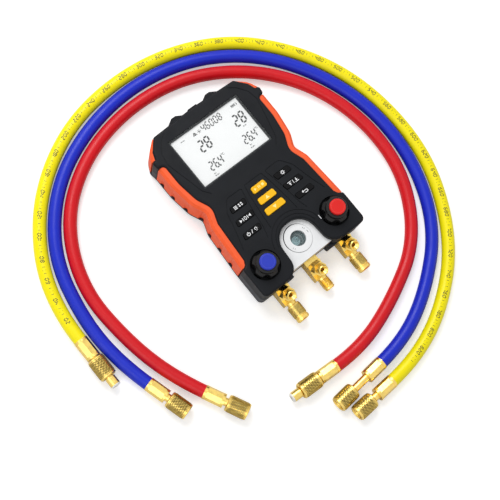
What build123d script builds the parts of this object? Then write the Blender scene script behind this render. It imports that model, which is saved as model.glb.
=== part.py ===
from build123d import *
import os
from math import atan2, cos, degrees, pi, radians, sin, tan

# Digital refrigerant manifold gauge with three charging hoses.
# Millimetres. X runs across the case to the high-pressure side, Y runs from the ports to
# the display, Z is up with the case lying on its back. The origin is under the middle of
# the gauge itself, the hoses left aside. Until export, y = 0 is the front edge of the ears.

# ---- case ---------------------------------------------------------------------------
CASE_HEIGHT = 36.5          # back to face
SPLIT_HEIGHT = 17.0         # where the two shells meet
CASE_LENGTH = 178.4         # ears to the middle of the top edge
GAUGE_SHIFT = -73.95        # row's origin near the middle of the gauge with its ports
EAR_HALF_WIDTH = 60.0
HIP_IN = 4.6
HIP_Y = 80.0
WAIST_IN = 9.3              # in from the head
WAIST_Y = 93.0
SHOULDER_IN = 3.3
SHOULDER_Y = 106.0
HEAD_HALF_WIDTH = 61.8
HEAD_Y = 128.0
CORNER_BULGE = 1.2          # bumper corners beyond the head
CORNER_BELOW_TOP = 20.4     # widest point of the bumper corners, below the top edge
CORNER_FLARE = 8.0          # where the sides start to flare, below the widest point
CORNER_SLOPE_IN = 4.5       # upper end of a corner's steep side, in from the widest point
CORNER_SLOPE_UP = 9.5
CORNER_TOP_IN = 15.0        # where a corner meets the top edge
CORNER_TOP_DROP = 1.9       # the top edge's fall from its middle to there
GRIP_DEPTH = 6.2            # how far the rubber grips reach in from the outline
GRIP_Z = 6.0                # underside of the grips
GRIP_DROP = 2.0             # grip top below the face
GRIP_BEVEL = 2.4
GRIP_START_Y = 32.0
GRIP_TOP_BELOW = 28.7       # upper end of the grips, below the top edge
GRIP_STEP = 2.6             # slope of the case's step under the lower end of a grip
SCALLOP_YS = (45.7, 62.5, 78.7, 94.7, 110.7, 126.7, 142.0)
SCALLOP_RADIUS = 3.0
SCALLOP_BITE = 1.9
SCALLOP_TOP_Z = 29.0        # where the finger notches fade out
BUMPER_REACH = 15.6         # rubber corner inserts, in from the widest point
SIDE_WALL = 2.6
FACE_PLATE = 3.2
FLOOR = 2.6
FACE_ROUND = 2.2
BELLY_ROUND = 4.0
EAR_ROUND = 5.0
CORNER_ROUND = 4.5
SEAM = 0.4                  # general clearance between fitted pieces
PRESS_GAP = 0.05            # radial gap of a piece that is pressed or screwed in
PAST = 1.0                  # how far a cut runs past the wall that it opens

# opening in the face over the manifold
NOTCH_HALF_WIDTH = 17.9
NOTCH_MOUTH_HALF_WIDTH = 20.4
NOTCH_DEPTH = 41.0
NOTCH_ROUND = 17.5
NOTCH_LIP_ROUND = 14.0
THROAT_HALF_WIDTH = 22.0

# sensor sockets on the top edge
SOCKET_X = 19.8
HUMP_RISE = 3.0
HUMP_HALF = 10.0            # at its foot
HUMP_CREST = 2.4
KNUCKLE_RISE = 1.0          # low raised stretch between the humps
KNUCKLE_HALF = 6.6
KNUCKLE_CREST = 4.8
SOCKET_Z = 22.5
SOCKET_RADIUS = 3.4
SOCKET_BORE = 1.8
SOCKET_DEPTH = 14.0
SOCKET_FLOOR = 2.0
SOCKET_SINK = 0.4           # mouth of a socket inside the hump
HUMP_BASE = 6.0             # root of a hump, below the top edge
HUMP_FOOT = 1.5             # where its slopes start, below the top edge
HUMP_DROP = 5.0             # hump's underside below the seam of the shells

# grooves in the face
GROOVE_WIDTH = 0.8
GROOVE_DEPTH = 0.5
BAND_REACHES = (4.4, 8.2)   # bands round the notch, out from its edge
BAND_START_ANGLE = 12.0

# ---- display ------------------------------------------------------------------------
WINDOW_WIDTH = 76.3
WINDOW_HEIGHT = 50.3
WINDOW_Y = 137.6
LENS_BORDER = 1.8
LENS_THICKNESS = 1.4
LENS_SINK = 0.8             # lens top below the face
MODULE_BORDER = 2.4
BOARD_THICKNESS = 1.6
BOARD_HALF_WIDTH = 40.5
BOARD_START_Y = 46.0
BOARD_END_BELOW = 12.0      # board's end, below the top edge
MODULE_THICKNESS = 4.5
CHIP_HALF = 6.0
CHIP_HEIGHT = 1.6
CONNECTOR_X = (-30.0, -14.0)
CONNECTOR_DEPTH = 5.0
CONNECTOR_HEIGHT = 4.0
SOUNDER_X = 24.0
SOUNDER_RADIUS = 5.0
SOUNDER_HEIGHT = 4.5

# ---- keys ---------------------------------------------------------------------------
KEY_ROW_YS = (80.2, 67.6, 54.3)             # black keys, top row first
KEY_INNER_XS = (17.8, 18.9, 21.8)           # edge towards the middle column
KEY_OUTER_XS = (34.6, 38.0, 40.6)
KEY_HALF_HEIGHT = 2.8
KEY_LEAN = 1.4                              # how far a key's lower edge lies further out
YELLOW_ROW_YS = (82.8, 71.1, 59.7)
YELLOW_HALF_WIDTHS = (7.7, 9.2, 10.6)
YELLOW_HALF_HEIGHT = 3.3
YELLOW_LEAN = 0.7
KEY_ROUND = 1.2
YELLOW_ROUND = 1.7
KEY_RISE = 0.8                              # key top above the face
YELLOW_RISE = 1.3
KEY_TRAVEL = 1.0
KEY_CLEARANCE = 0.35
KEY_FLANGE = 0.8
KEY_FLANGE_THICKNESS = 0.9
KEY_FLANGE_GAP = 0.3
KEY_FOOT_GAP = 0.1                          # left under a key that is pressed home
MEMBRANE_THICKNESS = 2.0
MEMBRANE_BORDER = 2.0       # membrane beyond the outermost keys
KEY_EDGE_ROUND = 0.5

# ---- back ---------------------------------------------------------------------------
CELL_RADIUS = 7.1
CELL_LENGTH = 49.5
CELL_PITCH = 14.6
CELL_COUNT = 4
BAY_START_Y = 60.0
CONTACT_ROOM = 3.2          # spring or stud plate at each end of a cell
CELL_NUB_RADIUS = 2.7
CELL_NUB_HEIGHT = 1.2
CELL_SIDE_GAP = 0.4         # between the outer cells and the bay's wall
CELL_DOOR_GAP = 0.3
CONTACT_PLATE_RADIUS = 5.6
CONTACT_PLATE = 0.6
SPRING_BASE_RADIUS = 4.4
SPRING_TIP_RADIUS = 1.6
STUD_RADIUS = 2.2
BAY_WALL = 1.6
DOOR_THICKNESS = 1.6
DOOR_LIP = 3.0
DOOR_TAB = 7.5              # tongue with the door's screw
DOOR_TAB_HALF_WIDTH = 7.0
DOOR_SCREW_HEAD = 0.8
SCREW_RADIUS = 1.5
SCREW_HEAD_RADIUS = 2.9
SCREW_HEAD_HEIGHT = 1.8
SCREW_HEAD_LOW = 0.3        # heads lie a little inside the back
SCREW_CLEARANCE = 0.2
CROSS_ARM = 1.9             # recess in a screw's head
CROSS_HALF_WIDTH = 0.35
CROSS_SHARE = 0.55          # its depth, as a share of the head
CASE_SCREW_TOP = 25.0
DOOR_SCREW_LOW = 0.2
DOOR_SCREW_TOP = 9.5
BOSS_RADIUS = 3.6
LOWER_SCREW = (45.0, 47.5)
UPPER_SCREW_X = 46.5
UPPER_SCREW_BELOW = 18.4
HOOK_WIDTH = 18.0
HOOK_CLEAR = 3.75           # from the boss of the door's screw to the hook's end
HOOK_PIN_RADIUS = 1.5
HOOK_PIN_Z = 4.6
HOOK_PIN_BELOW = 6.4        # pin axis, below the top edge
HOOK_BAR = 3.6
HOOK_END_ROUND = 6.0
HOOK_KNUCKLE_WALL = 1.9
HOOK_LOOP_BELOW_PIN = 6.0
HOOK_RECESS_DEPTH = 8.4
HOOK_RECESS_WALL = 2.0
HOOK_PIN_SEAT = 1.7         # each end of the pin in the recess's walls

# ---- manifold -----------------------------------------------------------------------
MANIFOLD_HALF_WIDTH = 50.0
MANIFOLD_FRONT_Y = 4.5
MANIFOLD_BACK_Y = 42.0
MANIFOLD_Z = 3.0
MANIFOLD_TOP = 26.0
MANIFOLD_SCREW_INSET = 5.5
MANIFOLD_SCREW_BITE = 7.0
PAD_TOP = 30.0              # raised face seen through the notch
GALLERY_RADIUS = 3.0
PAD_HALF_WIDTH = 23.4
SIGHT_Y = 24.7
SIGHT_RING_RADIUS = 13.1
SIGHT_BORE_RADIUS = 7.4
SIGHT_RING_TOP = 30.6
SIGHT_RING_THICKNESS = 2.2
SIGHT_GAP = 0.35            # shadow gap round the ring
GLASS_RADIUS = 9.0
GLASS_THICKNESS = 1.5
PLUNGER_RADIUS = 6.9
PLUNGER_STEP_RADIUS = 4.8
PLUNGER_TOP = 22.4
PLUNGER_STEP_Z = 19.6
PLUNGER_FOOT_Z = 8.0
SENSOR_X = 24.0
SENSOR_RADIUS = 6.0
SENSOR_LENGTH = 12.0
SENSOR_RISE = 11.0          # sensor axis above the block's underside
SENSOR_COLLAR = 5.0
SENSOR_BODY_RADIUS = 5.0
PLUNGER_HEX = 4.0
PLUNGER_HEX_DEPTH = 2.0

# ---- valves -------------------------------------------------------------------------
VALVE_X = 41.2
VALVE_Y = 23.6
POCKET_RADIUS = 14.2
POCKET_FLOOR_Z = 30.0
POCKET_FLOOR_THICKNESS = 2.6
SPINDLE_RADIUS = 3.0
SPINDLE_CLEARANCE = 0.05
SPINDLE_TIP_Z = 10.0
SPINDLE_TOP_Z = 44.0
SPINDLE_CONE = 1.8
SPINDLE_CONE_RADIUS = 1.2
SPINDLE_END_GAP = 0.5       # under the tip
SPINDLE_HEAD_GAP = 0.2      # over the top, inside the knob
PACKING_ACROSS_FLATS = 11.0
PACKING_TOP_Z = 31.0
KNOB_FOOT_Z = 30.8
KNOB_SKIRT_TOP_Z = 40.5
KNOB_SHOULDER = 2.4         # slope from the skirt up to the collar
KNOB_EDGE = 0.8
KNOB_TOP_Z = 48.0
KNOB_SKIRT_RADIUS = 12.4
KNOB_COLLAR_RADIUS = 10.1
KNOB_LOBES = 5
KNOB_LOBE_RADIUS = 6.0
KNOB_LOBE_BITE = 2.1
KNOB_HOLLOW_RADIUS = 8.2
KNOB_HOLLOW_TOP_Z = 35.5
CAP_RADIUS = 7.5
CAP_SEAT = 1.2
CAP_HEIGHT = 4.0
CAP_EDGE_ROUND = 0.9

# ---- ports --------------------------------------------------------------------------
PORT_SPACING = 38.0
PORT_HALF_WIDTH = 7.0
PORT_BLOCK_REACH = 16.0     # block in front of the ears
PORT_BLOCK_TOP = 16.6       # inside the case
PORT_BLOCK_FRONT_TOP = 13.6
PORT_AXIS_Z = 9.0
PORT_REACH = 29.0           # tip of the male flare in front of the ears
FLARE_RADIUS = 5.55         # 1/4 inch SAE male flare, 7/16-20 thread crest
FLARE_BORE_RADIUS = 2.4
FLARE_NECK_RADIUS = 4.7
FLARE_NECK_LENGTH = 2.4
FLARE_CONE = 1.6
CAP_START = 18.7            # open end of a dust cap in front of the ears
CAP_END = 35.8              # closed end
DUST_CAP_RADIUS = 6.7
DUST_CAP_WALL = 2.0
DUST_CAP_LIP = 0.5
DUST_CAP_CHAMFER = 1.2
THREAD_CLEARANCE = 0.05
NOZZLE_TILT = 58.0          # nozzle axis above the horizontal, towards the user
NOZZLE_Y = -6.3
NOZZLE_Z = 18.5
NOZZLE_HEX = 12.0
NOZZLE_HEX_START = -2.0
NOZZLE_HEX_END = 3.5
NOZZLE_LENGTH = 11.8        # seat to mouth along the axis
NOZZLE_RADIUS = 4.8
NOZZLE_WAIST_RADIUS = 3.9
NOZZLE_NECK_RADIUS = 4.4
NOZZLE_BORE_RADIUS = 1.6
NOZZLE_SEAT_SHARE = 0.88    # flat under the hexagon, as a share of its half width
NOZZLE_WAIST = 1.0          # from the hexagon to the first collar
NOZZLE_COLLAR = 1.6
NOZZLE_GROOVE = 0.8
NOZZLE_TIP_CHAMFER = 0.6
NOZZLE_LIP = 0.7

# ---- hoses and their fittings ---------------------------------------------------------
HOSE_DIAMETER = 12.5
FERRULE_RADIUS = 6.6
FERRULE_LENGTH = 19.5
FERRULE_FLATS = 12.2
FERRULE_COLLAR = 2.6
STUB_NECK_RADIUS = 3.8
STUB_HEAD_RADIUS = 4.7
STUB_BORE_RADIUS = 2.0
STUB_BORE_DEPTH = 9.0
STUB_SOCKET = 4.0           # stub inside the ferrule
LONG_STUB = 31.7            # ferrule to tip
LONG_HEAD = 9.2
SHORT_STUB = 17.5
SHORT_HEAD = 6.2
SEAL_THICKNESS = 1.4
SEAL_RADIUS = 4.4
SEAL_EDGE = 0.4
NUT_RADIUS = 8.0
NUT_LENGTH = 20.5
NUT_WALL = 5.0              # closed end, round the stub's neck
NUT_CHAMFER = 0.9
DEPRESSOR_RADIUS = 0.8
DEPRESSOR_FOOT = 1.0
DEPRESSOR_PROUD = 1.0       # pin beyond the seal

# Centre line of each hose, from its left end to its right end, lying on the ground and
# rising a little at both ends, where the fittings are fatter than the hose.
HOSE_ROUTES = {
    "red": [
        (-150, -103, 7.4), (-163, -76, 6.3), (-175, -27, 6.3), (-178, 36, 6.3),
        (-151, 95, 6.3), (-101, 132, 6.3), (-40, 147, 6.3), (23, 140, 6.3),
        (79, 108, 6.3), (118, 59, 6.3), (136, -2, 6.3), (130, -64, 6.3),
        (94, -119, 6.3), (39, -147, 6.3), (-12, -162, 6.3), (-42, -160, 7.4),
    ],
    "blue": [
        (-184, -67, 7.4), (-192, -38, 6.3), (-194, 13, 6.3), (-180, 75, 6.3),
        (-139, 125, 6.3), (-83, 153, 6.3), (-20, 162, 6.3), (43, 149, 6.3),
        (96, 114, 6.3), (132, 62, 6.3), (150, 2, 6.3), (146, -62, 6.3),
        (119, -121, 6.3), (70, -161, 6.3), (23, -182, 6.3), (-7, -184, 7.1),
    ],
    "yellow": [
        (-207, 0, 7.4), (-207, 30, 6.3), (-191, 81, 6.3), (-153, 130, 6.3),
        (-97, 164, 6.3), (-35, 175, 6.3), (27, 168, 6.3), (85, 141, 6.3),
        (129, 94, 6.3), (156, 38, 6.3), (164, -28, 6.3), (153, -86, 6.3),
        (119, -145, 6.3), (69, -184, 6.3), (19, -202, 6.3), (-10, -203, 7.3),
    ],
}
# Left and right end of each hose: whether its stub is the long one, and how far its
# loose nut lies from the ferrule.
HOSE_ENDS = {
    "red": ((False, 2.9), (True, 0.8)),
    "blue": ((False, 2.9), (True, 17.0)),
    "yellow": ((True, 0.8), (False, 5.8)),
}

# ---- sizes that follow from the ones above --------------------------------------------
CORNER_HALF_WIDTH = HEAD_HALF_WIDTH + CORNER_BULGE
SHOULDER_HALF_WIDTH = HEAD_HALF_WIDTH - SHOULDER_IN
WAIST_HALF_WIDTH = HEAD_HALF_WIDTH - WAIST_IN
HIP_HALF_WIDTH = HEAD_HALF_WIDTH - HIP_IN
CAVITY_INSET = GRIP_DEPTH + SIDE_WALL
CEILING_Z = CASE_HEIGHT - FACE_PLATE
CORNER_Y = CASE_LENGTH - CORNER_BELOW_TOP
GRIP_END_Y = CASE_LENGTH - GRIP_TOP_BELOW
GRIP_TOP_Z = CASE_HEIGHT - GRIP_DROP
BOARD_TOP_Z = CEILING_Z - MODULE_THICKNESS
UPPER_SCREW = (UPPER_SCREW_X, CASE_LENGTH - UPPER_SCREW_BELOW)
HOOK_PIN_Y = CASE_LENGTH - HOOK_PIN_BELOW
BAY_END_Y = BAY_START_Y + CELL_LENGTH + 2 * CONTACT_ROOM
DOOR_SCREW_Y = BAY_END_Y + DOOR_LIP + DOOR_TAB / 2
HOOK_LENGTH = HOOK_PIN_Y - DOOR_SCREW_Y - BOSS_RADIUS - HOOK_CLEAR
BAY_HALF_WIDTH = CELL_COUNT * CELL_PITCH / 2 + CELL_SIDE_GAP
CELL_Z = DOOR_THICKNESS + CELL_DOOR_GAP + CELL_RADIUS
PORT_XS = (-PORT_SPACING, 0, PORT_SPACING)
SIDES = (-1, 1)
THREAD_BORE = FLARE_RADIUS + THREAD_CLEARANCE
SCREW_BITE_RADIUS = SCREW_RADIUS + PRESS_GAP
SCREW_HOLE_RADIUS = SCREW_RADIUS + SCREW_CLEARANCE
SCREW_HEAD_HOLE_RADIUS = SCREW_HEAD_RADIUS + SCREW_CLEARANCE

# Corners of the grooves on the right half of the face, from below, and the rounding of the
# corners between their ends. The middle field's line is closed by its mirror image.
BEZEL_GROOVE = [
    (37, CASE_LENGTH - 4.7), (43.8, CASE_LENGTH - 9.2), (50.8, CASE_LENGTH - 18.7),
    (53.0, CASE_LENGTH - 29.5), (43.3, WINDOW_Y - 27.4), (38.2, WINDOW_Y - 33.9),
]
BEZEL_ROUNDS = [6, 4, 6, 5]
FIELD_GROOVE = [
    (23.4, 41.5), (20.6, 51), (18.8, 67), (14.1, 91.2),
    (30.6, 91.7), (38.6, 81), (43.6, 61), (48.4, 46),
]
FIELD_ROUNDS = [8, 8, 1.2, 6, 8, 10]
MIDDLE_GROOVE = [(15.6, 46.5), (14.6, 58), (12, 80), (9.8, 91.7)]
MIDDLE_ROUNDS = [8, 20, 1.2, 1.2, 20, 8]


def mirrored(right_side):
    """Close a right-hand list of (x, y, radius) corners, bottom to top, with its mirror image."""
    left_side = [(-x, y, r) for x, y, r in reversed(right_side) if x != 0]
    return right_side + left_side


def moved_in(corners, inset):
    """Move every side of a counter-clockwise outline inwards, keeping the rounding parallel."""
    result = []
    for i, (x, y, radius) in enumerate(corners):
        before = corners[i - 1]
        after = corners[(i + 1) % len(corners)]
        entry = atan2(y - before[1], x - before[0])
        leave = atan2(after[1] - y, after[0] - x)
        turn = (leave - entry + pi) % (2 * pi) - pi
        middle = entry + turn / 2
        reach = inset / cos(turn / 2)
        new_radius = radius - inset if turn > 0 else radius + inset
        floor_radius = min(radius, 0.6)
        moved = (x - reach * sin(middle), y + reach * cos(middle))
        result.append((*moved, max(new_radius, floor_radius)))
    return result


def slab(corners, low, high, inset=0.0):
    """Upright plate with the given outline, between two heights."""
    outline = moved_in(corners, inset) if inset else corners
    path = FilletPolyline(
        *[(x, y, low) for x, y, _ in outline], radius=[r for _, _, r in outline], close=True
    )
    return extrude(make_face(path), amount=high - low, dir=(0, 0, 1))


def block(x, y, z):
    """Box between the two ends given for each axis."""
    return Pos((x[0] + x[1]) / 2, (y[0] + y[1]) / 2, (z[0] + z[1]) / 2) * Box(
        x[1] - x[0], y[1] - y[0], z[1] - z[0]
    )


def post(x, y, low, high, radius):
    """Upright cylinder."""
    return Pos(x, y, (low + high) / 2) * Cylinder(radius, high - low)


def hexagon(across_flats, low, high):
    """Hexagonal prism on the Z axis."""
    face = RegularPolygon(across_flats / 2, 6, major_radius=False)
    return Pos(0, 0, low) * extrude(face, amount=high - low)


def along(profile, frame):
    """Turned piece: (distance, radius) steps along the Z axis of a plane."""
    outline = [(0, profile[0][0])]
    for distance, radius in profile:
        outline.append((radius, distance))
    outline.append((0, profile[-1][0]))
    face = make_face(Polyline(*[(r, 0, d) for r, d in outline], close=True))
    return frame * revolve(face, Axis.Z)


def side_x(corners, first, y):
    """x on the straight side that starts at a corner, at the height y."""
    (x0, y0, _), (x1, y1, _) = corners[first], corners[first + 1]
    return x0 + (x1 - x0) * (y - y0) / (y1 - y0)


# ---- outlines -------------------------------------------------------------------------
def envelope_right():
    """Right half of the whole case with grips and bumpers on."""
    return [
        (EAR_HALF_WIDTH, 0, EAR_ROUND),
        (EAR_HALF_WIDTH, GRIP_START_Y + 4, 80),
        (HIP_HALF_WIDTH, HIP_Y, 15),
        (WAIST_HALF_WIDTH, WAIST_Y, 7),
        (SHOULDER_HALF_WIDTH, SHOULDER_Y, 25),
        (HEAD_HALF_WIDTH, HEAD_Y, 50),
        (HEAD_HALF_WIDTH + 0.1, CORNER_Y - CORNER_FLARE, 8),
        (CORNER_HALF_WIDTH, CORNER_Y, CORNER_ROUND),
        (CORNER_HALF_WIDTH - CORNER_SLOPE_IN, CORNER_Y + CORNER_SLOPE_UP, 20),
        (CORNER_HALF_WIDTH - CORNER_TOP_IN, CASE_LENGTH - CORNER_TOP_DROP, CORNER_ROUND),
        (0, CASE_LENGTH, 150),
    ]


def notch_right():
    """Right half of the opening over the manifold, clockwise seen from above."""
    return [
        (NOTCH_MOUTH_HALF_WIDTH, 0, NOTCH_LIP_ROUND),
        (NOTCH_HALF_WIDTH, NOTCH_DEPTH, NOTCH_ROUND),
    ]


def shell_outline(with_notch):
    """Black shells between the grips, with steps that the grips and bumpers fill."""
    inner = moved_in(mirrored(envelope_right()), GRIP_DEPTH)
    lower_y = GRIP_START_Y + 2.5 * GRIP_STEP
    right = [
        (EAR_HALF_WIDTH, 0, EAR_ROUND),
        (EAR_HALF_WIDTH, GRIP_START_Y, 2.5),
        (side_x(inner, 1, lower_y) + 0.8 * GRIP_STEP, GRIP_START_Y + GRIP_STEP, 2),
        (side_x(inner, 1, lower_y), lower_y, 3),
        inner[2],
        inner[3],
        inner[4],
        inner[5],
        (side_x(inner, 5, GRIP_END_Y), GRIP_END_Y, 3.4),
        (HEAD_HALF_WIDTH + 0.1, GRIP_END_Y + 0.5, 2.5),
        (CORNER_HALF_WIDTH, CORNER_Y, 2.5),
        (CORNER_HALF_WIDTH - 0.27 * BUMPER_REACH, CORNER_Y + 0.5, 1),
        (CORNER_HALF_WIDTH - 0.43 * BUMPER_REACH, CORNER_Y + 0.8 * CORNER_SLOPE_UP, 3),
        (CORNER_HALF_WIDTH - BUMPER_REACH - 0.7, CASE_LENGTH - CORNER_TOP_DROP + 0.05, 2.5),
        (0, CASE_LENGTH, 150),
    ]
    if not with_notch:
        return mirrored(right)
    mouth, crown = notch_right()
    left = [(-x, y, r) for x, y, r in reversed(right) if x != 0]
    back = [(-mouth[0], mouth[1], mouth[2]), (-crown[0], crown[1], crown[2]), crown]
    return [mouth] + right + left + back


def notch_region(grow):
    """The notch as a closed region reaching in front of the case, its sides moved outwards."""
    right = [(NOTCH_MOUTH_HALF_WIDTH, -10, 0.5), (NOTCH_HALF_WIDTH, NOTCH_DEPTH, NOTCH_ROUND)]
    return moved_in(mirrored(right), -grow)


def outline_x(y):
    """Half width of the case at the height y."""
    corners = envelope_right()
    for i in range(len(corners) - 1):
        if corners[i][1] <= y <= corners[i + 1][1]:
            return side_x(corners, i, y)
    return corners[0][0]


# ---- case -----------------------------------------------------------------------------
def front_case():
    """Upper black shell with the face."""
    outline = shell_outline(with_notch=True)
    shell = slab(outline, SPLIT_HEIGHT, CASE_HEIGHT)
    rim = [e for e in shell.edges() if e.bounding_box().min.Z > CASE_HEIGHT - 0.01]
    shell = fillet(rim, FACE_ROUND)
    shell += top_humps(SPLIT_HEIGHT, CEILING_Z)
    cavity = slab(mirrored(envelope_right()), SPLIT_HEIGHT, CEILING_Z, CAVITY_INSET)
    cavity -= slab(notch_region(SIDE_WALL), PAD_TOP + SEAM, CASE_HEIGHT)
    shell -= cavity
    front_y = MANIFOLD_FRONT_Y - SEAM
    back_y = MANIFOLD_BACK_Y + SEAM
    half = MANIFOLD_HALF_WIDTH + SEAM
    pad_half = PAD_HALF_WIDTH + SEAM
    shell -= block((-half, half), (front_y, back_y), (SPLIT_HEIGHT, MANIFOLD_TOP + SEAM))
    shell -= block((-pad_half, pad_half), (front_y, back_y), (MANIFOLD_TOP, PAD_TOP + SEAM))
    shell = add_pockets(shell)
    shell = add_bosses(shell)
    shell = cut_window(shell)
    shell = cut_key_holes(shell)
    shell = cut_grooves(shell)
    for side in SIDES:
        shell -= socket_hole(side)
    return shell


def top_humps(low, high):
    """Raised stretches of the top edge: round each sensor socket, and a low one between."""
    humps = []
    rows = [(side * SOCKET_X, HUMP_HALF, HUMP_CREST, HUMP_RISE) for side in SIDES]
    rows.append((0, KNUCKLE_HALF, KNUCKLE_CREST, KNUCKLE_RISE))
    for x, half, crest, rise in rows:
        base_y = CASE_LENGTH - HUMP_BASE
        foot_y = CASE_LENGTH - HUMP_FOOT
        crest_y = CASE_LENGTH + rise
        shape = [
            (x - half, base_y, 0),
            (x + half, base_y, 0),
            (x + half, foot_y, 1),
            (x + crest, crest_y, 1),
            (x - crest, crest_y, 1),
            (x - half, foot_y, 1),
        ]
        humps.append(slab(shape, low, high))
    return humps


def socket_plane(side):
    """Plane at the mouth of a sensor socket, facing into the case."""
    origin = (side * SOCKET_X, CASE_LENGTH + HUMP_RISE, SOCKET_Z)
    return Plane(origin=origin, x_dir=(1, 0, 0), z_dir=(0, -1, 0))


def socket_hole(side):
    """Bore for a sensor socket."""
    return along([(-PAST, SOCKET_RADIUS), (SOCKET_DEPTH, SOCKET_RADIUS)], socket_plane(side))


def add_pockets(shell):
    """Round wells for the valve knobs, each with a floor that the packing nut passes."""
    floor_low = POCKET_FLOOR_Z - POCKET_FLOOR_THICKNESS
    nut_hole = PACKING_ACROSS_FLATS / 2 / cos(pi / 6) + SEAM
    for side in SIDES:
        x = side * VALVE_X
        shell += post(x, VALVE_Y, floor_low, CEILING_Z + PAST, POCKET_RADIUS + SIDE_WALL / 2)
        shell -= post(x, VALVE_Y, POCKET_FLOOR_Z, CASE_HEIGHT + PAST, POCKET_RADIUS)
        shell -= post(x, VALVE_Y, floor_low - PAST, POCKET_FLOOR_Z + PAST, nut_hole)
    return shell


def add_bosses(shell):
    """Posts under the face that the case screws bite into."""
    for x0, y in (LOWER_SCREW, UPPER_SCREW):
        for side in SIDES:
            x = side * x0
            shell += post(x, y, SPLIT_HEIGHT, CEILING_Z + PAST, BOSS_RADIUS)
            shell -= post(x, y, SPLIT_HEIGHT - PAST, CASE_SCREW_TOP + PAST, SCREW_BITE_RADIUS)
    return shell


def centred_block(width, length, low, high):
    """Box centred on the display."""
    return block((-width / 2, width / 2), (WINDOW_Y - length / 2, WINDOW_Y + length / 2), (low, high))


def cut_window(shell):
    """Display window with a rebate for the lens."""
    rebate_z = CASE_HEIGHT - LENS_SINK - LENS_THICKNESS
    width = WINDOW_WIDTH + 2 * LENS_BORDER
    height = WINDOW_HEIGHT + 2 * LENS_BORDER
    shell -= centred_block(width, height, rebate_z, CASE_HEIGHT + PAST)
    shell -= centred_block(WINDOW_WIDTH, WINDOW_HEIGHT, CEILING_Z - PAST, CASE_HEIGHT)
    return shell


def black_key(row, side):
    """Corners of a slanted key beside the middle column, left (-1) or right (1)."""
    low = KEY_ROW_YS[row] - KEY_HALF_HEIGHT
    high = KEY_ROW_YS[row] + KEY_HALF_HEIGHT
    inner, outer, lean = KEY_INNER_XS[row], KEY_OUTER_XS[row], KEY_LEAN / 2
    shape = [
        (inner + lean, low, KEY_ROUND),
        (outer + lean, low, KEY_ROUND),
        (outer - lean, high, KEY_ROUND),
        (inner - lean, high, KEY_ROUND),
    ]
    return shape if side > 0 else [(-x, y, r) for x, y, r in reversed(shape)]


def yellow_key(row):
    """Corners of a key in the middle column."""
    low = YELLOW_ROW_YS[row] - YELLOW_HALF_HEIGHT
    high = YELLOW_ROW_YS[row] + YELLOW_HALF_HEIGHT
    half, lean = YELLOW_HALF_WIDTHS[row], YELLOW_LEAN / 2
    return mirrored([(half + lean, low, YELLOW_ROUND), (half - lean, high, YELLOW_ROUND)])


def all_keys():
    """Every key: name, corners, height above the face."""
    left = ("key_mode", "key_zero", "key_power")
    right = ("key_set", "key_minmax", "key_back")
    middle = ("key_play", "key_up", "key_down")
    for row in range(3):
        yield left[row], black_key(row, -1), KEY_RISE
        yield middle[row], yellow_key(row), YELLOW_RISE
        yield right[row], black_key(row, 1), KEY_RISE


def cut_key_holes(shell):
    """A hole with running clearance round every key."""
    for _, corners, _ in all_keys():
        shell -= slab(corners, CEILING_Z - PAST, CASE_HEIGHT + PAST, -KEY_CLEARANCE)
    return shell


def groove(points, radii):
    """Shallow groove of square section along a line on the face."""
    path = FilletPolyline(*[(x, y, CASE_HEIGHT) for x, y in points], radius=radii, close=False)
    return groove_on(Wire(path.edges()))


def groove_on(path):
    """Sweep the groove's section along a wire on the face."""
    start = Plane(origin=path @ 0, x_dir=(0, 0, 1), z_dir=path % 0)
    return sweep(start * Rectangle(2 * GROOVE_DEPTH, GROOVE_WIDTH), path)


def cut_grooves(shell):
    """Lines round the display, the three key fields and the notch."""
    for side in SIDES:
        for corners, rounds in ((BEZEL_GROOVE, BEZEL_ROUNDS), (FIELD_GROOVE, FIELD_ROUNDS)):
            shell -= groove([(side * x, y) for x, y in corners], rounds)
    middle = MIDDLE_GROOVE + [(-x, y) for x, y in reversed(MIDDLE_GROOVE)]
    shell -= groove(middle, MIDDLE_ROUNDS)
    for reach in BAND_REACHES:
        radius = NOTCH_HALF_WIDTH + reach
        centre_y = NOTCH_DEPTH - NOTCH_ROUND
        sweep_angle = 180 - 2 * BAND_START_ANGLE
        arc = CenterArc((0, centre_y, CASE_HEIGHT), radius, BAND_START_ANGLE, sweep_angle)
        shell -= groove_on(Wire(arc.edges()))
    return shell


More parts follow.
